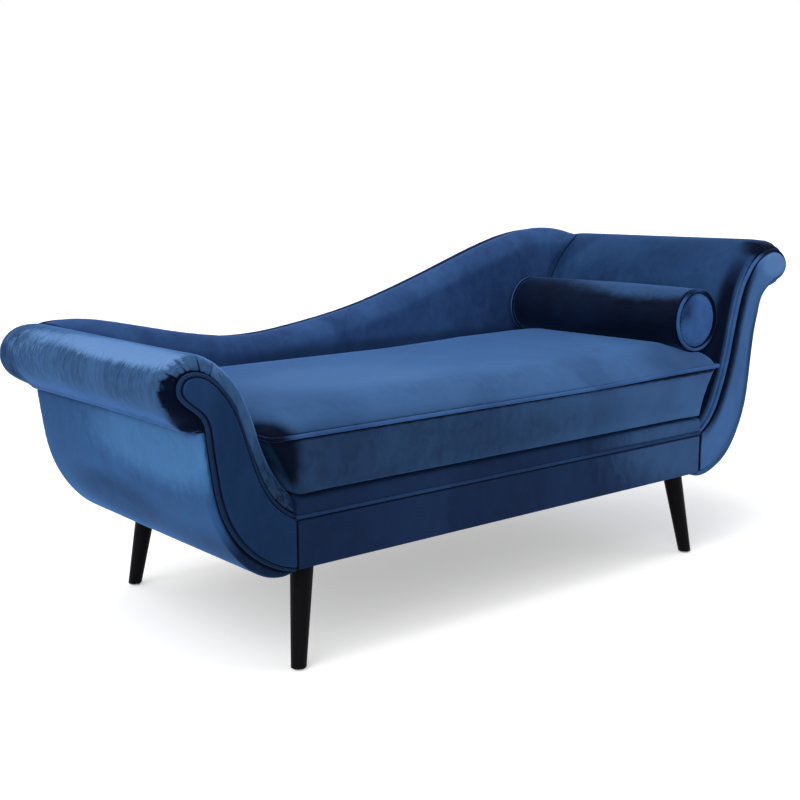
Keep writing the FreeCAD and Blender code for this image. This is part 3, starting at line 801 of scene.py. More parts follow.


# Each panel has its own copy of the same blue velvet, coloured lighter or darker for how light falls on it:
# painted light and shade. The welt copies likewise: painted lighter where lit, painted darker on the arms as
# if in shade.
SEAT_VELVET = velvet(
    "velvet_seat", (0.033, 0.084, 0.205), (0.049, 0.120, 0.280), 0.65, lit=(0.072, 0.158, 0.325),
)
ROLL_VELVET = velvet(
    "velvet_roll", (0.010, 0.030, 0.078), (0.038, 0.094, 0.212), 0.9, lit=(0.125, 0.245, 0.485),
    brush=0.75, brush_scale=105.0, ragged=0.20, stretch=(0.45, 1.0, 0.28),
)
SLOPE_VELVET = velvet(
    "velvet_slope", (0.006, 0.021, 0.068), (0.020, 0.058, 0.155), 0.5, lit=(0.044, 0.112, 0.262),
)
PANEL_VELVET = velvet(
    "velvet_panel", (0.019, 0.066, 0.178), (0.036, 0.112, 0.285), 0.6, lit=(0.075, 0.215, 0.46),
)
FACING_VELVET = velvet("velvet_facing", (0.0065, 0.023, 0.068), (0.0135, 0.042, 0.120), 0.4)
LIT_FACING_VELVET = velvet(
    "velvet_facing_lit", (0.036, 0.098, 0.250), (0.056, 0.138, 0.335), 0.5, lit=(0.090, 0.195, 0.42),
)
RAIL_VELVET = velvet(
    "velvet_rail", (0.006, 0.016, 0.050), (0.011, 0.028, 0.080), 0.3, lit=(0.044, 0.105, 0.245),
)
BACK_VELVET = velvet(
    "velvet_back", (0.018, 0.047, 0.140), (0.040, 0.100, 0.260), 0.55, lit=(0.050, 0.130, 0.310),
)
BOLSTER_VELVET = velvet(
    "velvet_bolster", (0.0010, 0.002, 0.008), (0.004, 0.010, 0.030), 0.6, lit=(0.032, 0.078, 0.190),
    ragged=0.10, stretch=(1.0, 0.5, 1.0),
)
CAP_VELVET = velvet("velvet_cap", (0.022, 0.068, 0.205), (0.048, 0.128, 0.350), 0.5, ragged=0.10)
WELT_VELVET = velvet("velvet_welt", (0.010, 0.028, 0.080), (0.018, 0.048, 0.130), 0.45)
ARM_WELT_VELVET = velvet("velvet_welt_arm", (0.006, 0.017, 0.048), (0.013, 0.034, 0.090), 0.35)
LIT_WELT_VELVET = velvet("velvet_welt_lit", (0.024, 0.066, 0.186), (0.044, 0.114, 0.290), 0.65)

LEG_LACQUER = Finish(
    "black_lacquer", (0.0016, 0.0015, 0.0022), (0.0032, 0.0030, 0.0042), (0.38, 0.5), 0.1, 0.0002,
    specular=0.045, group=GRAIN,
)
GLIDE_PLASTIC = Finish("glide_plastic", (0.62, 0.62, 0.6), (0.78, 0.78, 0.76), (0.4, 0.55))
TIMBER = Finish(
    "sawn_timber", (0.42, 0.27, 0.13), (0.70, 0.52, 0.32), (0.6, 0.8), 0.5, 0.0006,
    rotation=(0.0, math.radians(90), 0.0), specular=0.3, group=GRAIN,
)
PLYWOOD = Finish(
    "plywood", (0.50, 0.36, 0.20), (0.74, 0.60, 0.42), (0.6, 0.8), 0.3, 0.0003, specular=0.3, group=GRAIN,
)
ZINC = Finish("zinc_steel", (0.42, 0.43, 0.45), (0.66, 0.67, 0.69), (0.3, 0.5), metallic=1.0)
SPRING_STEEL = Finish("spring_steel", (0.16, 0.16, 0.17), (0.3, 0.3, 0.32), (0.35, 0.55), metallic=1.0)
DUST_CLOTH = Finish(
    "dust_cloth", (0.008, 0.008, 0.008), (0.024, 0.024, 0.025), (0.85, 0.95), 0.5, 0.0003,
    specular=0.1, group=WEAVE, settings=(("Threads", 380.0),),
)
DECK_CLOTH = Finish(
    "deck_cloth", (0.006, 0.014, 0.036), (0.016, 0.032, 0.075), (0.8, 0.95), 0.5, 0.0003,
    specular=0.15, group=WEAVE, settings=(("Threads", 420.0),),
)
ZIP_TAPE = Finish(
    "zip_tape", (0.006, 0.016, 0.05), (0.014, 0.034, 0.09), (0.7, 0.85), 0.5, 0.0003,
    specular=0.2, group=WEAVE, settings=(("Threads", 800.0),),
)
SLIDER_LACQUER = Finish("slider_lacquer", (0.01, 0.02, 0.055), (0.02, 0.036, 0.085), (0.25, 0.4), coat=0.3)

HIDDEN_FINISHES = {"frame_timber": TIMBER, "plywood": PLYWOOD, "zinc_steel": ZINC}


def dress(frame: Frame, piece: bpy.types.Object, finish: Finish, stands_for: tuple[str, ...]) -> None:
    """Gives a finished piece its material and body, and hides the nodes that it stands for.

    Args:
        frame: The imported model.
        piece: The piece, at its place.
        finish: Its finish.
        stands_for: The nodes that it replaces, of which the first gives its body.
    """
    piece.data.materials.clear()
    piece.data.materials.append(finish.material())
    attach(piece, frame.body_of[stands_for[0]])
    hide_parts(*stands_for)
    log.info("%s: %d faces", piece.name, len(piece.data.polygons))


# Padded pieces


@dataclass(frozen=True)
class PaintedLightStroke:
    """A place of painted light, above 0, or painted shade, below 0, on a piece."""

    place: tuple[float, float, float]
    reach: tuple[float, float, float]
    amount: float
    full: float = 0.35

    def over(self, points: Points) -> Points:
        """The stroke's share at each point, whole in its middle and soft at its edge."""
        away = np.linalg.norm((points - np.array(self.place)) / np.array(self.reach), axis=1)
        return self.amount * fade(self.full, 1.0, away)


def painted_light_sum(strokes: tuple[PaintedLightStroke, ...], points: Points) -> Points:
    """The sum of several strokes of painted light and shade at each point."""
    return sum((stroke.over(points) for stroke in strokes), np.zeros(len(points)))


@dataclass(frozen=True)
class Edge:
    """A painted light or shade stroke kept to a band beside the welts, such as a painted highlight along a
    rounded edge: it rises, is full, falls and ends so far from them.
    """

    stroke: PaintedLightStroke
    band: tuple[float, float, float, float]

    def over(self, points: Points, away: Points) -> Points:
        """The edge's share at each point."""
        rise, full, fall, end = self.band
        return smooth_step(rise, full, away) * fade(fall, end, away) * self.stroke.over(points)


@dataclass
class Pad:
    """A stuffed piece: its solid rebuilt from squares, blown up as cloth, and held at its seams."""

    name: str
    stands_for: tuple[str, ...]
    finish: Finish
    held_by: tuple[str, ...] = ()
    voxel: float = 0.006
    quick_factor: float = 2.0
    fill: float = 0.7
    cap: float = 0.004
    grow: float = 0.0
    rounds: int = 2
    simulated: bool = True
    subdivided: bool = True
    unevenness: float = 0.0015
    unevenness_size: float = 0.09
    seed: float = 0.0
    held_reach: float = 0.016
    held_gap: float = 0.002
    pressure: float = 4.0
    last_frame: int = 10
    seam_depth: float = 0.0022
    seam_width: float = 0.010
    seam_gap: float = 0.001
    seam_facing: tuple[float, float] = (0.2, 0.8)
    # How much of the painted seam shade is kept on the seam's upper side, and where that side begins
    seam_above: float = 1.0
    above_range: tuple[float, float] = (0.1, 0.6)
    tucked_under: tuple[str, ...] = ()
    # Strokes and edge bands of painted light and shade
    strokes: tuple[PaintedLightStroke, ...] = ()
    edges: tuple[Edge, ...] = ()

    def square(self) -> float:
        return self.voxel * 1

    def start(self, frame: Frame) -> bpy.types.Object:
        """The rebuilt form that the piece is blown up from.

        Args:
            frame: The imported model.

        Returns:
            The new piece.
        """
        piece = merged_copy(frame, self.stands_for[0], self.name)
        if self.grow:
            apply_modifier(piece, "DISPLACE", strength=self.grow, mid_level=0.0)
        remesh(piece, self.square(), self.rounds)
        return piece

    def freedom(self, frame: Frame, piece: bpy.types.Object) -> Points:
        """How free each point is to move: 0 at a seam or a support, 1 away from them."""
        distance, _ = nearest(frame.trees(self.held_by), points_of(piece), self.held_reach)
        return smooth_step(self.held_gap, self.held_reach, distance)

    def swell(self, piece: bpy.types.Object, freedom: Points) -> None:
        """Swells a thin or flat pad by its cap where it is free, which needs no simulation."""
        move_points(piece, points_of(piece) + normals_of(piece) * (freedom * self.cap)[:, None])

    def blow_up(self, piece: bpy.types.Object, freedom: Points) -> None:
        """Simulates the cover as cloth under pressure, and caps how far its points move.

        Args:
            piece: The rebuilt piece.
            freedom: Share of its move that each point keeps.
        """
        before = points_of(piece)
        cloth = piece.modifiers.new("Cover", "CLOTH")
        cloth.settings.quality = 4
        cloth.settings.use_pressure = True
        cloth.settings.uniform_pressure_force = self.pressure
        cloth.settings.effector_weights.gravity = 0.0
        cloth.point_cache.frame_start = 1
        cloth.point_cache.frame_end = self.last_frame
        for number in range(1, self.last_frame + 1):
            bpy.context.scene.frame_set(number)
        select_only(piece)
        bpy.ops.object.modifier_apply(modifier=cloth.name)
        bpy.context.scene.frame_set(1)
        move = points_of(piece) - before
        length = np.maximum(np.linalg.norm(move, axis=1), TINY)
        kept = self.cap * np.tanh(length / self.cap) / length * freedom
        move_points(piece, before + move * kept[:, None])
        furthest, furthest_kept = length.max() * 1e3, (length * kept).max() * 1e3
        log.info("%s: blown up by %.1f mm, kept %.1f", piece.name, furthest, furthest_kept)

    def soften(self, piece: bpy.types.Object, freedom: Points) -> None:
        """Adds the filling's unevenness where the piece is free.

        Args:
            piece: The piece to change.
            freedom: Share of the unevenness that each point keeps.
        """
        before = points_of(piece)
        dent(piece, self.unevenness_size, self.unevenness, self.seed)
        move_points(piece, before + (points_of(piece) - before) * freedom[:, None])

    def shape(self, piece: bpy.types.Object) -> None:
        """Shapes the rebuilt form before it is blown up. A plain pad needs nothing."""

    def detail(self, piece: bpy.types.Object) -> None:
        """Adds folds and seams at the end. A plain pad needs nothing."""

    def sew(self, frame: Frame, piece: bpy.types.Object) -> None:
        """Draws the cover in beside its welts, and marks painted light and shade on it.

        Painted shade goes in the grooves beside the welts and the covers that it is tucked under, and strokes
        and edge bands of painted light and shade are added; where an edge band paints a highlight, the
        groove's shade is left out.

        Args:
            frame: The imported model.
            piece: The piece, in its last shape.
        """
        points = points_of(piece)
        seams = [node for node in self.held_by if "piping" in node]
        drawn_to = frame.trees((*seams, *self.tucked_under))
        distance, towards = nearest(drawn_to, points, self.seam_width)
        close = fade(self.seam_gap, self.seam_width, distance)
        normals = normals_of(piece)
        facing = smooth_step(*self.seam_facing, (normals * towards).sum(axis=1))
        points -= normals * (close * (1.0 - facing) * self.seam_depth)[:, None]
        move_points(piece, points)
        # Painted light and shade from the strokes and the edge bands; the lighter bands paint a highlight
        # along the edge
        turn = painted_light_sum(self.strokes, points)
        painted_highlight = np.zeros(len(points))
        if self.edges:
            away, _ = nearest(frame.trees(seams), points, self.edges[-1].band[-1])
            for edge in self.edges:
                change = edge.over(points, away)
                turn += change
                painted_highlight += np.clip(change, 0.0, 1.0)
        # Painted shade in the seam grooves, weaker on their upper side and none under a painted highlight
        above = smooth_step(*self.above_range, -towards[:, 2])
        painted_seam_shade = close * (1.0 - (1.0 - self.seam_above) * above) * (1.0 - np.minimum(painted_highlight, 1.0))
        mark(piece, "turn", turn - painted_seam_shade * (1.0 + np.maximum(turn, 0.0)))

    def build(self, frame: Frame) -> None:
        """Makes and dresses the piece.

        Args:
            frame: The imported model.
        """
        piece = self.start(frame)
        self.shape(piece)
        freedom = self.freedom(frame, piece)
        if self.simulated:
            self.blow_up(piece, freedom)
        else:
            self.swell(piece, freedom)
        self.soften(piece, freedom)
        if self.subdivided:
            apply_modifier(piece, "SUBSURF", levels=1, render_levels=1)
        self.detail(piece)
        self.sew(frame, piece)
        shade(piece)
        dress(frame, piece, self.finish, self.stands_for)


@dataclass
class TautPad(Pad):
    """A pad whose cover is drawn tight over a board, a rail or a form, so nothing is simulated."""

    fill: float = 0.4
    cap: float = 0.0
    simulated: bool = False
    subdivided: bool = False
    unevenness: float = 0.001


@dataclass
class Welt:
    """A velvet-covered cord sewn into a seam, with the small gathers of its bias strip."""

    name: str
    node: str
    finish: Finish = WELT_VELVET
    voxel: float = 0.0016
    quick_factor: float = 1.5
    rounds: int = 2
    gather_size: float = 0.005
    gather_depth: float = 0.0006
    grow: float = 0.0009
    seed: float = 0.0
    # The welt's painted light and shade: painted shade in the grooves beside the covers that it joins, and on
    # its underside where chosen, and its own strokes.
    beside: tuple[str, ...] = ()
    groove: float = 0.0024
    groove_gap: float = 0.0003
    painted_groove_shade: float = 1.2
    strokes: tuple[PaintedLightStroke, ...] = ()
    painted_shade_below: bool = False
    below_range: tuple[float, float] = (-0.3, 0.4)

    def shape(self, piece: bpy.types.Object) -> None:
        """Moves the welt with the piece that it is sewn to. Most stay where they are."""

    def build(self, frame: Frame) -> None:
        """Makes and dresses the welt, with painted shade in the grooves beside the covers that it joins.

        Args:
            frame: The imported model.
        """
        piece = merged_copy(frame, self.node, self.name)
        apply_modifier(piece, "DISPLACE", strength=self.grow, mid_level=0.0)
        remesh(piece, self.voxel * (1), self.rounds)
        points = points_of(piece)
        distance, _ = nearest(frame.trees(self.beside), points, self.groove)
        # Painted shade in the grooves, on the underside only where chosen
        painted_seam_shade = self.painted_groove_shade * fade(self.groove_gap, self.groove, distance)
        if self.painted_shade_below:
            painted_seam_shade *= smooth_step(*self.below_range, -normals_of(piece)[:, 2])
        mark(piece, "turn", painted_light_sum(self.strokes, points) - painted_seam_shade)
        self.shape(piece)
        dent(piece, self.gather_size, self.gather_depth, self.seed)
        shade(piece)
        dress(frame, piece, self.finish, (self.node,))


# Arms


@dataclass(frozen=True)
class Scroll:
    """The rolled top of an arm, seen along Y, with angles in degrees clockwise from the top.

    A pleat is a fold in the cover at the end of the roll: its angle and its share of the full depth.
    A corner is where the cover is stretched over the end's edge: its angle and its radius as a
    share of the roll's. From the last corner on to the top, the end is as round as the roll.
    """

    centre: tuple[float, float]
    pleats: tuple[tuple[float, float], ...]
    corners: tuple[tuple[float, float], ...] = ()
    full_back: float = 0.0
    back_rise: tuple[float, float] = (0.001, 0.010)
    back_fall: tuple[float, float] = (0.022, 0.070)

    def stretched(self, angle: Points) -> Points:
        """The end's radius at each angle, as a share of the roll's: straight lines between corners.

        Args:
            angle: The points' angles.

        Returns:
            The shares, 1 where the end is as round as the roll.
        """
        shares = np.ones(len(angle))
        turned = angle % 360.0
        corners = sorted((place % 360.0, share) for place, share in self.corners)
        for (first, first_share), (last, last_share) in zip(corners, corners[1:]):
            inside = (turned >= first) & (turned <= last)
            span = math.radians(last - first)
            start = np.radians(turned[inside] - first)
            flat = np.sin(span - start) / first_share + np.sin(start) / last_share
            shares[inside] = math.sin(span) / flat
        return shares

    def folds(self, angle: Points, radius: Points, width: float) -> Points:
        """How deep the pleats are at each point, as a share of the full depth.

        Args:
            angle: The points' angles.
            radius: How far they are from the centre.
            width: Half the width of a pleat.

        Returns:
            The shares, 0 away from the pleats.
        """
        depth = np.zeros(len(angle))
        for place, share in self.pleats:
            aside = np.radians((angle - place + 180.0) % 360.0 - 180.0) * radius
            depth += share * np.exp(-((aside / width) ** 2))
        return depth

    def fullness(self, angle: Points, from_back: Points) -> Points:
        """How far the filling stands out near the roll's back end, on its outer side.

        Args:
            angle: The points' angles.
            from_back: How far they are from the roll's back end.

        Returns:
            The distances, 0 on the inner side.
        """
        near_back = smooth_step(*self.back_rise, from_back) * fade(*self.back_fall, from_back)
        outward = np.clip(np.sign(self.centre[0]) * np.sin(np.radians(angle)), 0.0, 1.0)
        return near_back * self.full_back * outward ** 2


@dataclass
class ArmPadding(Pad):
    """The padding from the seat up and over the scroll, pleated where it turns into the facings.

    A field named full is the share of its length or reach up to which the shape is whole.
    """

    scroll: Scroll | None = None
    pleat_depth: float = 0.0042
    pleat_width: float = 0.0022
    pleat_length: float = 0.026
    pleat_full: float = 0.4
    # Painted shade in the pleats' creases and along the roll's drawn-in ends
    pleat_shade: float = 1.2
    fine_share: float = 1.3
    corner_length: float = 0.075
    corner_full: float = 0.3
    roll_reach: float = 0.1
    roll_full: float = 0.8
    end_shade: float = 0.4
    end_reach: float = 0.028
    folded: Points = field(init=False, repr=False)

    def near_roll(self, radius: Points) -> Points:
        """How near points are to the roll: 1 on it, 0 past its reach."""
        return fade(self.roll_reach * self.roll_full, self.roll_reach, radius)

    def detail(self, piece: bpy.types.Object) -> None:
        """Fills the roll's back end, stretches the cover at its front end and presses the pleats in.

        Args:
            piece: The piece to change.
        """
        pad = self.stands_for[0]
        points = points_of(piece)
        _, radius, _ = polar(points, self.scroll.centre)
        fine = within(points, pad, "y") < self.pleat_length * self.fine_share
        refine(piece, fine & (radius < self.roll_reach))

        points = points_of(piece)
        low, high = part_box(pad)
        from_front = points[:, 1] - low.y
        from_back = high.y - points[:, 1]
        from_end = np.minimum(from_front, from_back)
        out, radius, turned = polar(points, self.scroll.centre)
        angle = np.degrees(turned)
        near = self.near_roll(radius)
        front = fade(self.corner_length * self.corner_full, self.corner_length, from_front)
        grown = self.scroll.fullness(angle, from_back)
        grown += radius * (self.scroll.stretched(angle) - 1.0) * front
        pleated = fade(self.pleat_length * self.pleat_full, self.pleat_length, from_end)
        self.folded = self.scroll.folds(angle, radius, self.pleat_width) * pleated * near
        push_out(points, out, radius, grown * near - self.folded * self.pleat_depth)
        move_points(piece, points)

    def sew(self, frame: Frame, piece: bpy.types.Object) -> None:
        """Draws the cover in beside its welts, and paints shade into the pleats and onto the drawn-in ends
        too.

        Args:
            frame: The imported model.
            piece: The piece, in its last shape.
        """
        super().sew(frame, piece)
        points = points_of(piece)
        _, radius, _ = polar(points, self.scroll.centre)
        # Painted shade on the roll's ends and in its pleats
        at_end = fade(0.0, self.end_reach, within(points, self.stands_for[0], "y"))
        ends = self.end_shade * at_end * self.near_roll(radius)
        folds = np.minimum(self.folded, 1.0) * self.pleat_shade
        mark(piece, "turn", marked(piece, "turn") - folds - ends)


LOW_SCROLL = Scroll(
    centre=(-0.8275, 0.548),
    pleats=(
        (-105, 0.3), (-82, 0.45), (-66, 0.45), (-52, 0.5), (-40, 0.45), (-27, 0.8), (-15, 0.4),
        (7, 1.0), (20, 0.4), (38, 0.9),
    ),
    full_back=0.014,
)
HIGH_SCROLL = Scroll(
    centre=(0.8325, 0.690),
    pleats=((-40, 0.5), (12, 0.5), (59, 0.6), (108, 0.6)),
    corners=(
        (-75, 1.0), (-42, 1.06), (0, 1.03), (30, 1.0), (62, 1.06), (108, 1.09), (160, 1.05), (206, 1.0),
    ),
)
# Painted light and shade on the arms: shadows and lit bands on the low roll, where the patch at its front end
# is shade and turned pile both, lighter and darker places on its panel and on the high slope, a painted
# highlight along the slope's rounded edge beside its welt with painted shade beyond it, a painted highlight
# on the high facing's lobe with painted shade beside its welt, and painted shade on the welt round the high
# scroll.
ROLL_STROKES = (
    PaintedLightStroke((-0.876, -0.352, 0.552), (0.050, 0.060, 0.054), -0.82),
    PaintedLightStroke((-0.858, -0.355, 0.500), (0.065, 0.070, 0.047), -1.15),
    PaintedLightStroke((-0.700, -0.200, 0.400), (0.160, 0.115, 0.140), -1.30),
    PaintedLightStroke((-0.868, -0.140, 0.614), (0.055, 0.490, 0.042), 1.02),
    PaintedLightStroke((-0.885, 0.240, 0.592), (0.055, 0.150, 0.055), 0.38),
    PaintedLightStroke((-0.850, -0.050, 0.492), (0.055, 0.620, 0.034), -0.38),
    PaintedLightStroke((-0.765, -0.330, 0.600), (0.080, 0.070, 0.065), 0.80),
    PaintedLightStroke((-0.650, -0.335, 0.390), (0.120, 0.080, 0.170), -0.62),
)
LOW_PANEL_STROKES = (
    PaintedLightStroke((-0.830, -0.170, 0.435), (0.080, 0.420, 0.120), 0.60),
    PaintedLightStroke((-0.725, -0.290, 0.200), (0.160, 0.260, 0.150), -0.75),
    PaintedLightStroke((-0.790, 0.080, 0.270), (0.110, 0.320, 0.110), -0.60),
)
SLOPE_STROKES = (
    PaintedLightStroke((0.700, -0.060, 0.730), (0.130, 0.360, 0.090), -0.20),
    PaintedLightStroke((0.780, -0.330, 0.750), (0.080, 0.070, 0.060), -0.70),
)
HIGHLIGHT_BAND = (-0.002, -0.001, 0.004, 0.013)
SHADE_BAND = (0.010, 0.020, 0.034, 0.066)
SLOPE_EDGES = (
    Edge(PaintedLightStroke((0.610, -0.340, 0.500), (0.240, 0.060, 0.400), 1.15), HIGHLIGHT_BAND),
    Edge(PaintedLightStroke((0.610, -0.340, 0.500), (0.240, 0.140, 0.400), -0.95), SHADE_BAND),
)
LOBE_STROKES = (PaintedLightStroke((0.815, -0.345, 0.700), (0.085, 0.040, 0.055), 0.95),)
LOBE_EDGES = (
    Edge(PaintedLightStroke((0.620, -0.350, 0.550), (0.210, 0.060, 0.430), -0.95), (-0.002, -0.001, 0.005, 0.034)),
)
SCROLL_WELT_STROKES = (PaintedLightStroke((0.830, -0.350, 0.745), (0.115, 0.060, 0.075), -1.1),)


class End(Enum):
    """An end of an arm."""

    FRONT = "front"
    BACK = "back"


@dataclass
class Arm:
    """One arm: its padding, outer panel, facings and welts."""

    side: Side
    scroll: Scroll
    seed: float
    pad_finish: Finish
    front_finish: Finish
    pad_strokes: tuple[PaintedLightStroke, ...]
    panel_strokes: tuple[PaintedLightStroke, ...] = ()
    front_strokes: tuple[PaintedLightStroke, ...] = ()
    pad_edges: tuple[Edge, ...] = ()
    front_edges: tuple[Edge, ...] = ()
    welt_finish: Finish = ARM_WELT_VELVET
    welt_strokes: tuple[PaintedLightStroke, ...] = ()
    pad_seam_depth: float = 0.0014
    seam_width: float = 0.007
    back_welt_growth: float = 0.0028

    def node(self, part: str) -> str:
        """Name of one of the arm's nodes."""
        return f"{self.side.value}_arm_{part}"

    def build(self, frame: Frame) -> None:
        """Makes every soft piece of the arm.

        Args:
            frame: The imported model.
        """
        pad, panel, skin = self.node("pad"), self.node("outer_panel"), self.node("skin")
        welts = (self.node("front_piping"), self.node("back_piping"))
        ArmPadding(
            self.node("padding"), (pad,), self.pad_finish, (*welts, skin, "cushion_cover"),
            grow=0.0015, seed=self.seed, scroll=self.scroll, seam_depth=self.pad_seam_depth,
            seam_width=self.seam_width, tucked_under=(panel, "back_pad"),
            strokes=self.pad_strokes, edges=self.pad_edges,
        ).build(frame)
        TautPad(
            self.node("outside"), (panel,), PANEL_VELVET, (*welts, skin, pad, "seat_left_rail"),
            voxel=0.004, cap=0.003, seed=self.seed + 0.3, fill=0.5, unevenness=0.0015,
            seam_depth=0.003, seam_width=self.seam_width, tucked_under=(pad,), strokes=self.panel_strokes,
        ).build(frame)
        for end in End:
            self.build_end(frame, end)

    def build_end(self, frame: Frame, end: End) -> None:
        """Makes the facing at one end, and its welt. Only the front ones have their own finishes.

        Args:
            frame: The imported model.
            end: Which end.
        """
        front = end is End.FRONT
        facing, piping = self.node(f"{end.value}_facing"), self.node(f"{end.value}_piping")
        TautPad(
            self.node(f"{end.value}_panel"), (facing,), self.front_finish if front else FACING_VELVET,
            (piping, self.node(f"{end.value}_board")),
            voxel=0.0025, cap=0.002, seed=self.seed + 0.6, fill=0.5, unevenness=0.0008,
            seam_depth=self.pad_seam_depth, seam_width=self.seam_width, tucked_under=("front_rail_cover",),
            strokes=self.front_strokes if front else (), edges=self.front_edges if front else (),
        ).build(frame)
        beside = (self.node("pad"), self.node("outer_panel"), facing)
        # A lit welt gets no painted groove shade beside the padding.
        if front and self.welt_finish is LIT_WELT_VELVET:
            beside = beside[1:]
        Welt(
            self.node(f"{end.value}_welt"), piping, self.welt_finish if front else ARM_WELT_VELVET,
            seed=self.seed, grow=Welt.grow if front else self.back_welt_growth, beside=beside,
            strokes=self.welt_strokes,
        ).build(frame)


LOW_ARM = Arm(
    Side.LOW, LOW_SCROLL, seed=0.11, pad_finish=ROLL_VELVET, front_finish=FACING_VELVET,
    pad_strokes=ROLL_STROKES, panel_strokes=LOW_PANEL_STROKES,
)
HIGH_ARM = Arm(
    Side.HIGH, HIGH_SCROLL, seed=0.53, pad_finish=SLOPE_VELVET, front_finish=LIT_FACING_VELVET,
    pad_strokes=SLOPE_STROKES, front_strokes=LOBE_STROKES, pad_edges=SLOPE_EDGES,
    front_edges=LOBE_EDGES, welt_finish=LIT_WELT_VELVET, welt_strokes=SCROLL_WELT_STROKES,
)


# Back


# Painted shade along the back's low edge above the cushion, and a painted highlight on its hump near the high
# arm
BACK_STROKES = (
    PaintedLightStroke((0.100, 0.268, 0.490), (0.800, 0.060, 0.050), -0.50),
    PaintedLightStroke((0.680, 0.270, 0.735), (0.120, 0.060, 0.060), 0.45),
)


@dataclass
class BackCloth(TautPad):
    """The cloth behind the back, drawn over the posts as far as the arms' lower ends."""

    band: tuple[float, float] = (0.298, 0.351)
    reach: float = 0.045
    row_height: float = 0.003
    row_share: float = 0.75

    def start(self, frame: Frame) -> bpy.types.Object:
        """Straightens the cloth's sides in the band where they would leave a post bare.

        Args:
            frame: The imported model.

        Returns:
            The new piece.
        """
        piece = super().start(frame)
        points = points_of(piece)
        rows = np.arange(*self.band, self.row_height)
        close = self.square() * self.row_share
        for side in (-1.0, 1.0):
            out = points[:, 0] * side
            straight = out[points[:, 2] < self.band[0]].max()
            edge = np.array([out[np.abs(points[:, 2] - row) < close].max() for row in rows])
            gap = np.interp(points[:, 2], rows, np.maximum(straight - edge, 0.0), left=0.0, right=0.0)
            points[:, 0] += side * gap * smooth_step(straight - self.reach, straight - gap, out)
        move_points(piece, points)
        return piece


@dataclass
class BackRest:
    """The curved back: padding in front and over the top, and the cloth behind."""

    held_by: tuple[str, ...] = (
        "back_posts", "back_lower_rails", "back_top_rail", "back_inner_panel", "outside_back_piping",
        "left_arm_pad", "right_arm_pad", "deck_pad",
    )

    def build(self, frame: Frame) -> None:
        """Makes the back's pieces.

        Args:
            frame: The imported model.
        """
        Pad(
            "back_padding", ("back_pad",), BACK_VELVET, self.held_by,
            voxel=0.008, grow=0.003, cap=0.005, seed=1.7, unevenness=0.003, unevenness_size=0.16,
            seam_depth=0.0, seam_width=0.009, tucked_under=("left_arm_pad", "right_arm_pad"),
            strokes=BACK_STROKES,
        ).build(frame)
        BackCloth(
            "back_outside", ("outside_back",), PANEL_VELVET, ("outside_back_piping",),
            voxel=0.0035, seed=2.1, fill=0.3, rounds=1, seam_depth=0.0006,
        ).build(frame)
        Welt("back_outside_welt", "outside_back_piping", seed=2.3, beside=("outside_back",)).build(frame)


# Seat


SIDE_FACINGS = ("left_arm_front_facing", "right_arm_front_facing")
# Painted light on the right part of the rail and the seat's front edge
RAIL_STROKE = PaintedLightStroke((0.600, -0.350, 0.300), (0.560, 0.080, 0.200), 0.68)


@dataclass
class SeatFront:
    """The covered front rail, its welt, the padded edge above it and the platform behind."""

    seam_depth: float = 0.0012
    seam_width: float = 0.006

    def build(self, frame: Frame) -> None:
        """Makes the pieces of the seat's front.

        Args:
            frame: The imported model.
        """
        TautPad(
            "rail_cover", ("front_rail_cover",), RAIL_VELVET, ("front_rail_piping",),
            voxel=0.003, seed=3.1, unevenness_size=0.12, seam_depth=self.seam_depth,
            seam_width=self.seam_width, tucked_under=SIDE_FACINGS, strokes=(RAIL_STROKE,),
        ).build(frame)
        Welt(
            "rail_welt", "front_rail_piping", seed=3.3, beside=("front_rail_cover", "deck_edge_roll"),
            painted_shade_below=True,
        ).build(frame)
        TautPad(
            "seat_edge_roll", ("deck_edge_roll",), RAIL_VELVET, ("front_rail_piping", "deck_pad"),
            voxel=0.004, seed=3.5, fill=0.6, seam_depth=self.seam_depth, seam_width=self.seam_width,
            tucked_under=("cushion_cover", *SIDE_FACINGS), seam_above=0.3, strokes=(RAIL_STROKE,),
        ).build(frame)
        TautPad(
            "seat_platform", ("deck_pad",), DECK_CLOTH, ("deck_edge_roll",),
            voxel=0.009, seed=3.8, unevenness_size=0.2, seam_depth=0.0,
        ).build(frame)


# Painted shadow where the cushion's low end and its welt lie in the shade of the low arm
PAINTED_SHADOW_WEDGE = (
    PaintedLightStroke((-0.745, -0.340, 0.410), (0.130, 0.200, 0.150), -1.60),
    PaintedLightStroke((-0.750, -0.300, 0.465), (0.085, 0.150, 0.060), -1.50),
)
# Painted shade along the cushion's front border and near the bolster, and painted light on its top
CUSHION_STROKES = (
    *PAINTED_SHADOW_WEDGE,
    PaintedLightStroke((-0.500, -0.375, 0.385), (1.300, 0.090, 0.150), -0.60),
    PaintedLightStroke((0.480, -0.300, 0.490), (0.220, 0.120, 0.060), -0.36),
    PaintedLightStroke((-0.380, -0.120, 0.505), (0.340, 0.220, 0.060), 0.55),
    PaintedLightStroke((-0.050, -0.250, 0.500), (0.500, 0.140, 0.060), 0.25),
)


@dataclass(frozen=True)
class CushionForm:
    """How the loose cushion is lifted towards the high arm, by its filling under the bolster."""

    seam_height: float = 0.454
    bottom: float = 0.335
    lift: float = 0.007
    lift_span: tuple[float, float] = (0.10, 0.56)

    def lifted(self, points: Points) -> Points:
        """Raises each point by its share: none at the bottom, all of it from the seam up.

        Args:
            points: The points, one row each, which are moved.

        Returns:
            The same points.
        """
        share = np.clip((points[:, 2] - self.bottom) / (self.seam_height - self.bottom), 0.0, 1.0)
        points[:, 2] += self.lift * smooth_step(*self.lift_span, points[:, 0]) * share
        return points


CUSHION_FORM = CushionForm()


@dataclass
class CushionWelt(Welt):
    """The welt round the cushion's top edge, which is lifted with it."""

    def shape(self, piece: bpy.types.Object) -> None:
        """Lifts the welt with the cushion."""
        move_points(piece, CUSHION_FORM.lifted(points_of(piece)))


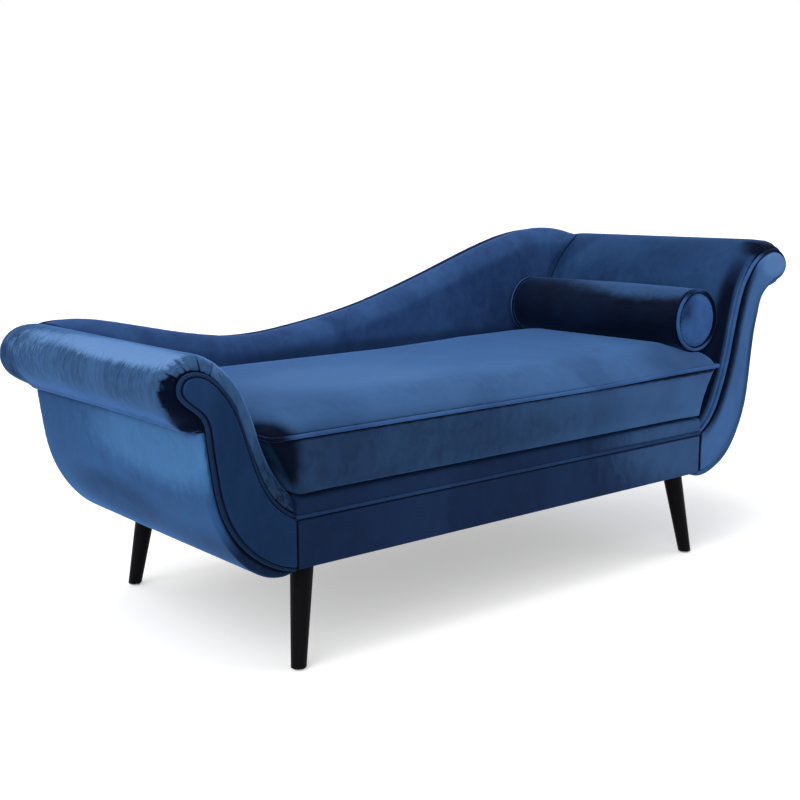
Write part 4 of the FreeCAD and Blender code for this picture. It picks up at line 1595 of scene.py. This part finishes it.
@dataclass
class SeatCushion(Pad):
    """The loose cushion: a crowned top that is higher towards the high arm, and puckered seams."""

    crown_height: float = 0.050
    crown_places: tuple[float, ...] = (-0.56, -0.40, -0.05, 0.22, 0.47, 0.56)
    crown_shares: tuple[float, ...] = (0.60, 0.67, 0.99, 1.14, 1.06, 0.96)
    corner_fullness: float = 0.75
    corner_across: tuple[float, float] = (0.30, 0.52)
    corner_deep: tuple[float, float] = (-0.27, -0.17)
    corner_hold: tuple[float, float] = (0.04, 0.16)
    bolster_gap: float = 0.004
    bolster_end_gap: float = 0.006
    pucker_depth: float = 0.0005
    pucker_length: float = 0.05
    pucker_reach: tuple[float, float] = (0.004, 0.03)
    pucker_sway: tuple[float, float] = (1.3, 37.0)
    zip_margin: float = 0.0015

    def under_bolster(self, points: Points) -> Points:
        """The height that the bolster leaves free at each point, endless where it doesn't lie.

        Args:
            points: The points, one row each.

        Returns:
            The heights.
        """
        (middle, height), radius = round_of("bolster_cover")
        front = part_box("bolster_cover")[0].y
        aside = np.abs(points[:, 0] - middle)
        covered = (aside < radius) & (points[:, 1] > front - self.bolster_end_gap)
        free = height - np.sqrt(np.maximum(radius ** 2 - aside ** 2, 0.0)) - self.bolster_gap
        return np.where(covered, free, np.inf)

    def shape(self, piece: bpy.types.Object) -> None:
        """Raises the crown and fills its right front corner, but not into the bolster.

        Args:
            piece: The piece to change.
        """
        points = points_of(piece)
        before = points[:, 2].copy()
        above = np.maximum(before - CUSHION_FORM.seam_height, 0.0)
        share = np.interp(points[:, 0], self.crown_places, self.crown_shares)
        corner = smooth_step(*self.corner_across, points[:, 0]) * fade(*self.corner_deep, points[:, 1])
        full = self.crown_height * np.minimum(above / self.crown_height, 1.0) ** self.corner_fullness
        raised = above * share
        points[:, 2] += raised - above + np.maximum(full - raised, 0.0) * corner
        points = CUSHION_FORM.lifted(points)
        points[:, 2] = np.maximum(before, np.minimum(points[:, 2], self.under_bolster(points)))
        move_points(piece, points)

    def freedom(self, frame: Frame, piece: bpy.types.Object) -> Points:
        """Holds the four corners too, which are cut full and keep their shape.

        Args:
            frame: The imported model.
            piece: The rebuilt piece.

        Returns:
            Share of its move that each point keeps.
        """
        points = points_of(piece)
        from_corner = np.hypot(within(points, "cushion_cover", "x"), within(points, "cushion_cover", "y"))
        return super().freedom(frame, piece) * smooth_step(*self.corner_hold, from_corner)

    def detail(self, piece: bpy.types.Object) -> None:
        """Adds the puckers at the top seam and sinks the zip's tape into the back border.

        Args:
            piece: The piece to change.
        """
        points = points_of(piece)
        normals = normals_of(piece)
        along = points[:, 0] + points[:, 1]
        phase = along * 2 * math.pi / self.pucker_length
        height = np.abs(points[:, 2] - CUSHION_FORM.seam_height)
        from_seam = np.hypot(height, np.maximum(within(points, "cushion_cover", "xy"), 0.0))
        pattern = uneven_wave(phase, along, *self.pucker_sway)
        puckered = pattern * fade(*self.pucker_reach, from_seam) * self.pucker_depth
        points += normals * puckered[:, None]
        in_zip = (within(points, "cushion_zip", "xz") > -self.zip_margin) & (normals[:, 1] > 0.5)
        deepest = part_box("cushion_zip")[0].y + self.zip_margin
        points[in_zip, 1] = np.minimum(points[in_zip, 1], deepest)
        move_points(piece, points)


@dataclass
class Zip:
    """The cushion's zip: woven tape, a coil of small teeth, and the slider with its pull."""

    tooth_pitch: float = 0.0025
    tooth_size: tuple[float, float, float] = (0.0016, 0.0016, 0.0052)
    end: float = 0.008
    slider_ease: float = 0.0005

    def build(self, frame: Frame) -> None:
        """Makes the zip's tape with its teeth, and the slider.

        Args:
            frame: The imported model.
        """
        tape = merged_copy(frame, "cushion_zip", "zip_tape")
        teeth = self.teeth()
        shade(tape, 30.0)
        dress(frame, tape, ZIP_TAPE, ("cushion_zip",))
        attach(teeth, "seat_cushion")
        slider = merged_copy(frame, "cushion_zip_slider", "zip_slider")
        apply_modifier(slider, "BEVEL", width=self.slider_ease, segments=2, limit_method="ANGLE")
        shade(slider, 40.0)
        dress(frame, slider, SLIDER_LACQUER, ("cushion_zip_slider",))

    def teeth(self) -> bpy.types.Object:
        """The coil of teeth: one tooth, repeated along the tape's outer face.

        Returns:
            The teeth, as one piece.
        """
        low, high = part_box("cushion_zip")
        bpy.ops.object.select_all(action="DESELECT")
        bpy.ops.mesh.primitive_uv_sphere_add(segments=8, ring_count=5, radius=0.5)
        teeth = bpy.context.object
        teeth.dimensions = self.tooth_size
        teeth.location = (low.x + self.end, high.y, (low.z + high.z) / 2)
        bpy.ops.object.transform_apply(location=True, rotation=True, scale=True)
        apply_modifier(
            teeth, "ARRAY", count=int((high.x - low.x - 2 * self.end) / self.tooth_pitch),
            use_relative_offset=False, use_constant_offset=True,
            constant_offset_displace=(self.tooth_pitch, 0.0, 0.0),
        )
        teeth.name = "zip_teeth"
        shade(teeth)
        teeth.data.materials.append(SLIDER_LACQUER.material())
        return teeth


@dataclass
class LooseCushion:
    """The loose seat cushion: its padded cover, the welt round its top edge and its zip."""

    held_by: tuple[str, ...] = (
        "cushion_piping", "deck_pad", "deck_edge_roll", "left_arm_pad", "right_arm_pad", "back_pad",
        "bolster_cover",
    )

    def build(self, frame: Frame) -> None:
        """Makes the cushion's pieces.

        Args:
            frame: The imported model.
        """
        SeatCushion(
            "seat_cushion", ("cushion_foam", "cushion_cover"), SEAT_VELVET, self.held_by,
            voxel=0.007, grow=0.0040, cap=0.006, seed=0.9, fill=0.8, unevenness=0.003,
            unevenness_size=0.15, rounds=1, seam_depth=0.0015, seam_width=0.008, seam_above=0.3,
            tucked_under=("deck_edge_roll",), strokes=CUSHION_STROKES,
        ).build(frame)
        CushionWelt(
            "seat_cushion_welt", "cushion_piping", LIT_WELT_VELVET, seed=0.95, grow=0.0006,
            beside=("cushion_cover",), strokes=PAINTED_SHADOW_WEDGE, painted_shade_below=True,
        ).build(frame)
        Zip().build(frame)


# Bolster


@dataclass
class BolsterTube(Pad):
    """The bolster's tube, gathered a little at both end seams."""

    gathers: int = 26
    gather_depth: float = 0.0004
    gather_reach: float = 0.03
    gather_sway: tuple[float, float] = (1.1, 5.0)

    def detail(self, piece: bpy.types.Object) -> None:
        """Draws in the gathers at the ends.

        Args:
            piece: The piece to change.
        """
        points = points_of(piece)
        centre, _ = round_of("bolster_cover")
        out, radius, angle = polar(points, centre)
        at_end = fade(0.0, self.gather_reach, within(points, "bolster_cover", "y"))
        wave = uneven_wave(angle * self.gathers, angle, *self.gather_sway)
        push_out(points, out, radius, (wave - 1.0) * at_end * self.gather_depth)
        move_points(piece, points)


@dataclass
class BolsterCaps(TautPad):
    """The two round end panels, gathered towards their welts."""

    gathers: int = 36
    gather_depth: float = 0.0007
    gather_span: tuple[float, float] = (0.76, 0.98)
    gather_sway: tuple[float, float] = (1.4, 3.0)

    def detail(self, piece: bpy.types.Object) -> None:
        """Presses shallow rays in near the rim.

        Args:
            piece: The piece to change.
        """
        points = points_of(piece)
        centre, rim = round_of("bolster_end_caps")
        low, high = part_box("bolster_end_caps")
        _, radius, angle = polar(points, centre)
        wave = uneven_wave(angle * self.gathers, angle, *self.gather_sway)
        at_rim = smooth_step(*(rim * share for share in self.gather_span), radius)
        side = np.sign(points[:, 1] - (low.y + high.y) / 2)
        points[:, 1] += side * (wave - 1.0) * at_rim * self.gather_depth
        move_points(piece, points)


@dataclass
class Bolster:
    """The loose bolster: tube, end panels and ring welts."""

    def build(self, frame: Frame) -> None:
        """Makes the bolster's pieces.

        Args:
            frame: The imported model.
        """
        # Painted highlight along the tube's top, and painted shade low on the front end panel and on the ring
        # welts
        BolsterTube(
            "bolster_tube", ("bolster_foam", "bolster_cover"), BOLSTER_VELVET,
            ("bolster_pipings", "right_arm_pad", "cushion_cover"),
            voxel=0.005, grow=0.0033, cap=0.003, seed=4.1, fill=0.9, unevenness=0.0016,
            unevenness_size=0.07,
            strokes=(PaintedLightStroke((0.535, -0.170, 0.665), (0.100, 0.360, 0.082), 0.82),),
        ).build(frame)
        BolsterCaps(
            "bolster_ends", ("bolster_end_caps",), CAP_VELVET, ("bolster_pipings",),
            voxel=0.0022, cap=0.004, seed=4.4, fill=0.8, unevenness=0.0012, unevenness_size=0.05,
            seam_width=0.007,
            strokes=(PaintedLightStroke((0.495, -0.312, 0.615), (0.075, 0.040, 0.095), -0.60),),
        ).build(frame)
        Welt(
            "bolster_welts", "bolster_pipings", LIT_WELT_VELVET, seed=4.7, grow=0.0004,
            beside=("bolster_cover", "bolster_end_caps"),
            strokes=(
                PaintedLightStroke((0.610, -0.315, 0.590), (0.075, 0.060, 0.110), -1.1),
                PaintedLightStroke((0.520, -0.315, 0.660), (0.060, 0.060, 0.050), -0.9),
            ),
        ).build(frame)


# Legs and underside


LEGS = tuple(f"leg_{end}_{side}" for end in ("front", "back") for side in ("left", "right"))


@dataclass
class Legs:
    """Four turned legs with eased edges, and the glides under them."""

    ease: float = 0.0012
    flat_angle: float = math.radians(0.5)
    edge_angle: float = math.radians(50)

    def build(self, frame: Frame) -> None:
        """Makes the legs and their glides.

        Args:
            frame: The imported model.
        """
        for node in LEGS:
            self.leg(frame, node)
        glides = merged_copy(frame, "foot_glides", "glides")
        apply_modifier(glides, "BEVEL", width=self.ease, segments=3, limit_method="ANGLE")
        shade(glides, 40.0)
        dress(frame, glides, GLIDE_PLASTIC, ("foot_glides",))

    def leg(self, frame: Frame, node: str) -> None:
        """Makes one leg from its solid, with an eased foot and top.

        Args:
            frame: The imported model.
            node: The leg's node.
        """
        piece = merged_copy(frame, node, f"turned_{node}")
        apply_modifier(piece, "DECIMATE", decimate_type="DISSOLVE", angle_limit=self.flat_angle)
        apply_modifier(
            piece, "BEVEL", width=self.ease, segments=3, limit_method="ANGLE", angle_limit=self.edge_angle,
        )
        shade(piece, 40.0)
        dress(frame, piece, LEG_LACQUER, (node,))


@dataclass
class Springs:
    """The zigzag springs, with fewer faces than their solids have."""

    kept_faces: float = 0.28

    def build(self, frame: Frame) -> None:
        """Makes the springs.

        Args:
            frame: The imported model.
        """
        piece = merged_copy(frame, "seat_springs", "zigzag_springs")
        apply_modifier(piece, "DECIMATE", ratio=self.kept_faces)
        shade(piece, 60.0)
        dress(frame, piece, SPRING_STEEL, ("seat_springs",))


@dataclass
class Underside:
    """The dust cloth under the seat, stapled to the rails and sagging a little between them."""

    cell: float = 0.02
    sag: float = 0.006
    sag_span: tuple[float, float] = (0.03, 0.16)
    thickness: float = 0.0008
    leg_window: float = 0.064
    top_depth: float = 0.001

    def build(self, frame: Frame) -> None:
        """Makes the dust cloth.

        Args:
            frame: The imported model.
        """
        low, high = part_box("dust_cover")
        size = high - low
        middle = (low + high) / 2
        bpy.ops.object.select_all(action="DESELECT")
        bpy.ops.mesh.primitive_grid_add(
            x_subdivisions=round(size.x / self.cell), y_subdivisions=round(size.y / self.cell), size=1.0
        )
        cloth = bpy.context.object
        cloth.name = "dust_cloth"
        cloth.dimensions = (size.x, size.y, 0.0)
        cloth.location = (middle.x, middle.y, high.z - self.thickness)
        bpy.ops.object.transform_apply(location=True, rotation=True, scale=True)
        self.cut_windows(cloth, frame)
        points = points_of(cloth)
        points[:, 2] -= smooth_step(*self.sag_span, within(points, "dust_cover", "xy")) * self.sag
        move_points(cloth, points)
        apply_modifier(cloth, "SOLIDIFY", thickness=self.thickness, offset=0.0)
        shade(cloth, 40.0)
        dress(frame, cloth, DUST_CLOTH, ("dust_cover",))

    def cut_windows(self, cloth: bpy.types.Object, frame: Frame) -> None:
        """Opens the cloth round each leg.

        Args:
            cloth: The flat cloth.
            frame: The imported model.
        """
        tops = [self.top_of(frame, node) for node in LEGS]
        half = self.leg_window / 2
        clear_selection(cloth, "FACE")
        for face in cloth.data.polygons:
            face.select = any(
                abs(face.center.x - top.x) < half and abs(face.center.y - top.y) < half for top in tops
            )
        bpy.ops.object.mode_set(mode="EDIT")
        bpy.ops.mesh.delete(type="FACE")
        bpy.ops.object.mode_set(mode="OBJECT")

    def top_of(self, frame: Frame, node: str) -> Vector:
        """Middle of a leg's top.

        Args:
            frame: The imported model.
            node: The leg's node.

        Returns:
            The middle of its highest points.
        """
        points = points_of(frame.nodes[node])
        top = points[points[:, 2] > points[:, 2].max() - self.top_depth]
        return Vector((top.min(axis=0) + top.max(axis=0)) / 2)


def dress_hidden(frame: Frame) -> None:
    """Gives every node that still shows, all of them inside, the finish of its slot.

    Args:
        frame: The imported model.
    """
    for name, node in frame.nodes.items():
        if node.hide_render:
            continue
        node.data.materials.clear()
        node.data.materials.append(HIDDEN_FINISHES[frame.slots[name]].material())


# Stage


@dataclass(frozen=True)
class Lamp:
    """A wide soft lamp that lights the object and the whole floor evenly.

    Its place is the side that its light comes from, and its spread is how wide it looks from the
    object, in degrees.
    """

    name: str
    place: tuple[float, float, float]
    strength: float
    spread: float

    def build(self, target: tuple[float, float, float]) -> None:
        """Adds the lamp, turned to the target.

        Args:
            target: The place that it shines at.
        """
        bpy.ops.object.light_add(type="SUN", location=self.place)
        lamp = bpy.context.object
        lamp.name = self.name
        lamp.data.energy = self.strength
        lamp.data.angle = math.radians(self.spread)
        facing = Vector(target) - Vector(self.place)
        lamp.rotation_euler = facing.to_track_quat("-Z", "Y").to_euler()


@dataclass
class Studio:
    """Pale floor, soft lights and the camera, whose angles are in degrees."""

    camera_place: tuple[float, float, float] = (-1.8656, -2.1455, 0.8997)
    yaw: float = 39.282
    pitch: float = 9.9846
    roll: float = 0.366
    lens: float = 55.473
    floor_size: float = 60.0
    floor_colour: Colour = (0.88, 0.88, 0.88)
    floor_lift: float = 0.40
    world_light: float = 0.42
    target: tuple[float, float, float] = (0.0, 0.0, 0.4)
    lamps: tuple[Lamp, ...] = (
        Lamp("key", (-3.0, -1.2, 2.8), 1.40, 50.0),
        Lamp("window", (-0.9, -0.3, 3.4), 0.55, 26.0),
        Lamp("top", (-0.6, 1.0, 3.4), 0.65, 60.0),
        Lamp("fill", (2.6, -2.2, 2.2), 0.35, 50.0),
    )

    def build(self) -> None:
        """Makes the stage."""
        self.camera()
        self.floor()
        self.world()
        for lamp in self.lamps:
            lamp.build(self.target)

    def camera(self) -> None:
        """Makes the camera at the place and turn fitted to the photograph."""
        bpy.ops.object.camera_add(location=self.camera_place)
        camera = bpy.context.object
        camera.data.lens = self.lens
        turn = (
            Matrix.Rotation(math.radians(-self.yaw), 3, "Z")
            @ Matrix.Rotation(math.radians(90 - self.pitch), 3, "X")
            @ Matrix.Rotation(math.radians(-self.roll), 3, "Z")
        )
        camera.rotation_euler = turn.to_euler()
        bpy.context.scene.camera = camera

    def floor(self) -> None:
        """Makes the floor, which shows a little lighter than it is lit and keeps its shadows."""
        bpy.ops.object.select_all(action="DESELECT")
        bpy.ops.mesh.primitive_plane_add(size=self.floor_size)
        floor = bpy.context.object
        floor.name = "floor"
        material = bpy.data.materials.new("pale_floor")
        wiring = fresh_wiring(material)
        path = wiring.node("ShaderNodeLightPath").outputs
        seen = wiring.math("MAXIMUM", path["Is Camera Ray"], path["Is Glossy Ray"])
        diffuse = wiring.node("ShaderNodeBsdfDiffuse", {"Color": (*self.floor_colour, 1.0)})
        glow = wiring.node("ShaderNodeEmission", {"Strength": wiring.math("MULTIPLY", seen, self.floor_lift)})
        both = wiring.node("ShaderNodeAddShader", {0: diffuse.outputs[0], 1: glow.outputs[0]})
        wiring.node("ShaderNodeOutputMaterial", {"Surface": both.outputs[0]})
        floor.data.materials.append(material)
        floor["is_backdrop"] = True

    def world(self) -> None:
        """Makes the sky: plain white where it is seen, and weaker as a light."""
        world = bpy.data.worlds.new("studio")
        wiring = fresh_wiring(world)
        path = wiring.node("ShaderNodeLightPath").outputs
        seen = wiring.math("MAXIMUM", path["Is Camera Ray"], path["Is Transmission Ray"])
        seen = wiring.math("MAXIMUM", seen, path["Is Glossy Ray"])
        strength = wiring.between(seen, self.world_light, 1.0)
        sky = wiring.node("ShaderNodeBackground", {"Color": (1.0, 1.0, 1.0, 1.0), "Strength": strength})
        wiring.node("ShaderNodeOutputWorld", {"Surface": sky.outputs[0]})
        bpy.context.scene.world = world
        bpy.context.scene.view_settings.view_transform = "Standard"


def main() -> None:
    """Builds the stage and every piece."""
    logging.basicConfig(level=logging.INFO, format="%(relativeCreated)d ms: %(message)s")
    frame = Frame()
    Studio().build()
    assemblies = (
        LOW_ARM, HIGH_ARM, BackRest(), SeatFront(), LooseCushion(), Bolster(), Legs(), Springs(), Underside(),
    )
    for assembly in assemblies:
        assembly.build(frame)
        log.info("%s: built", type(assembly).__name__)
    dress_hidden(frame)


if __name__ == "__main__":
    main()
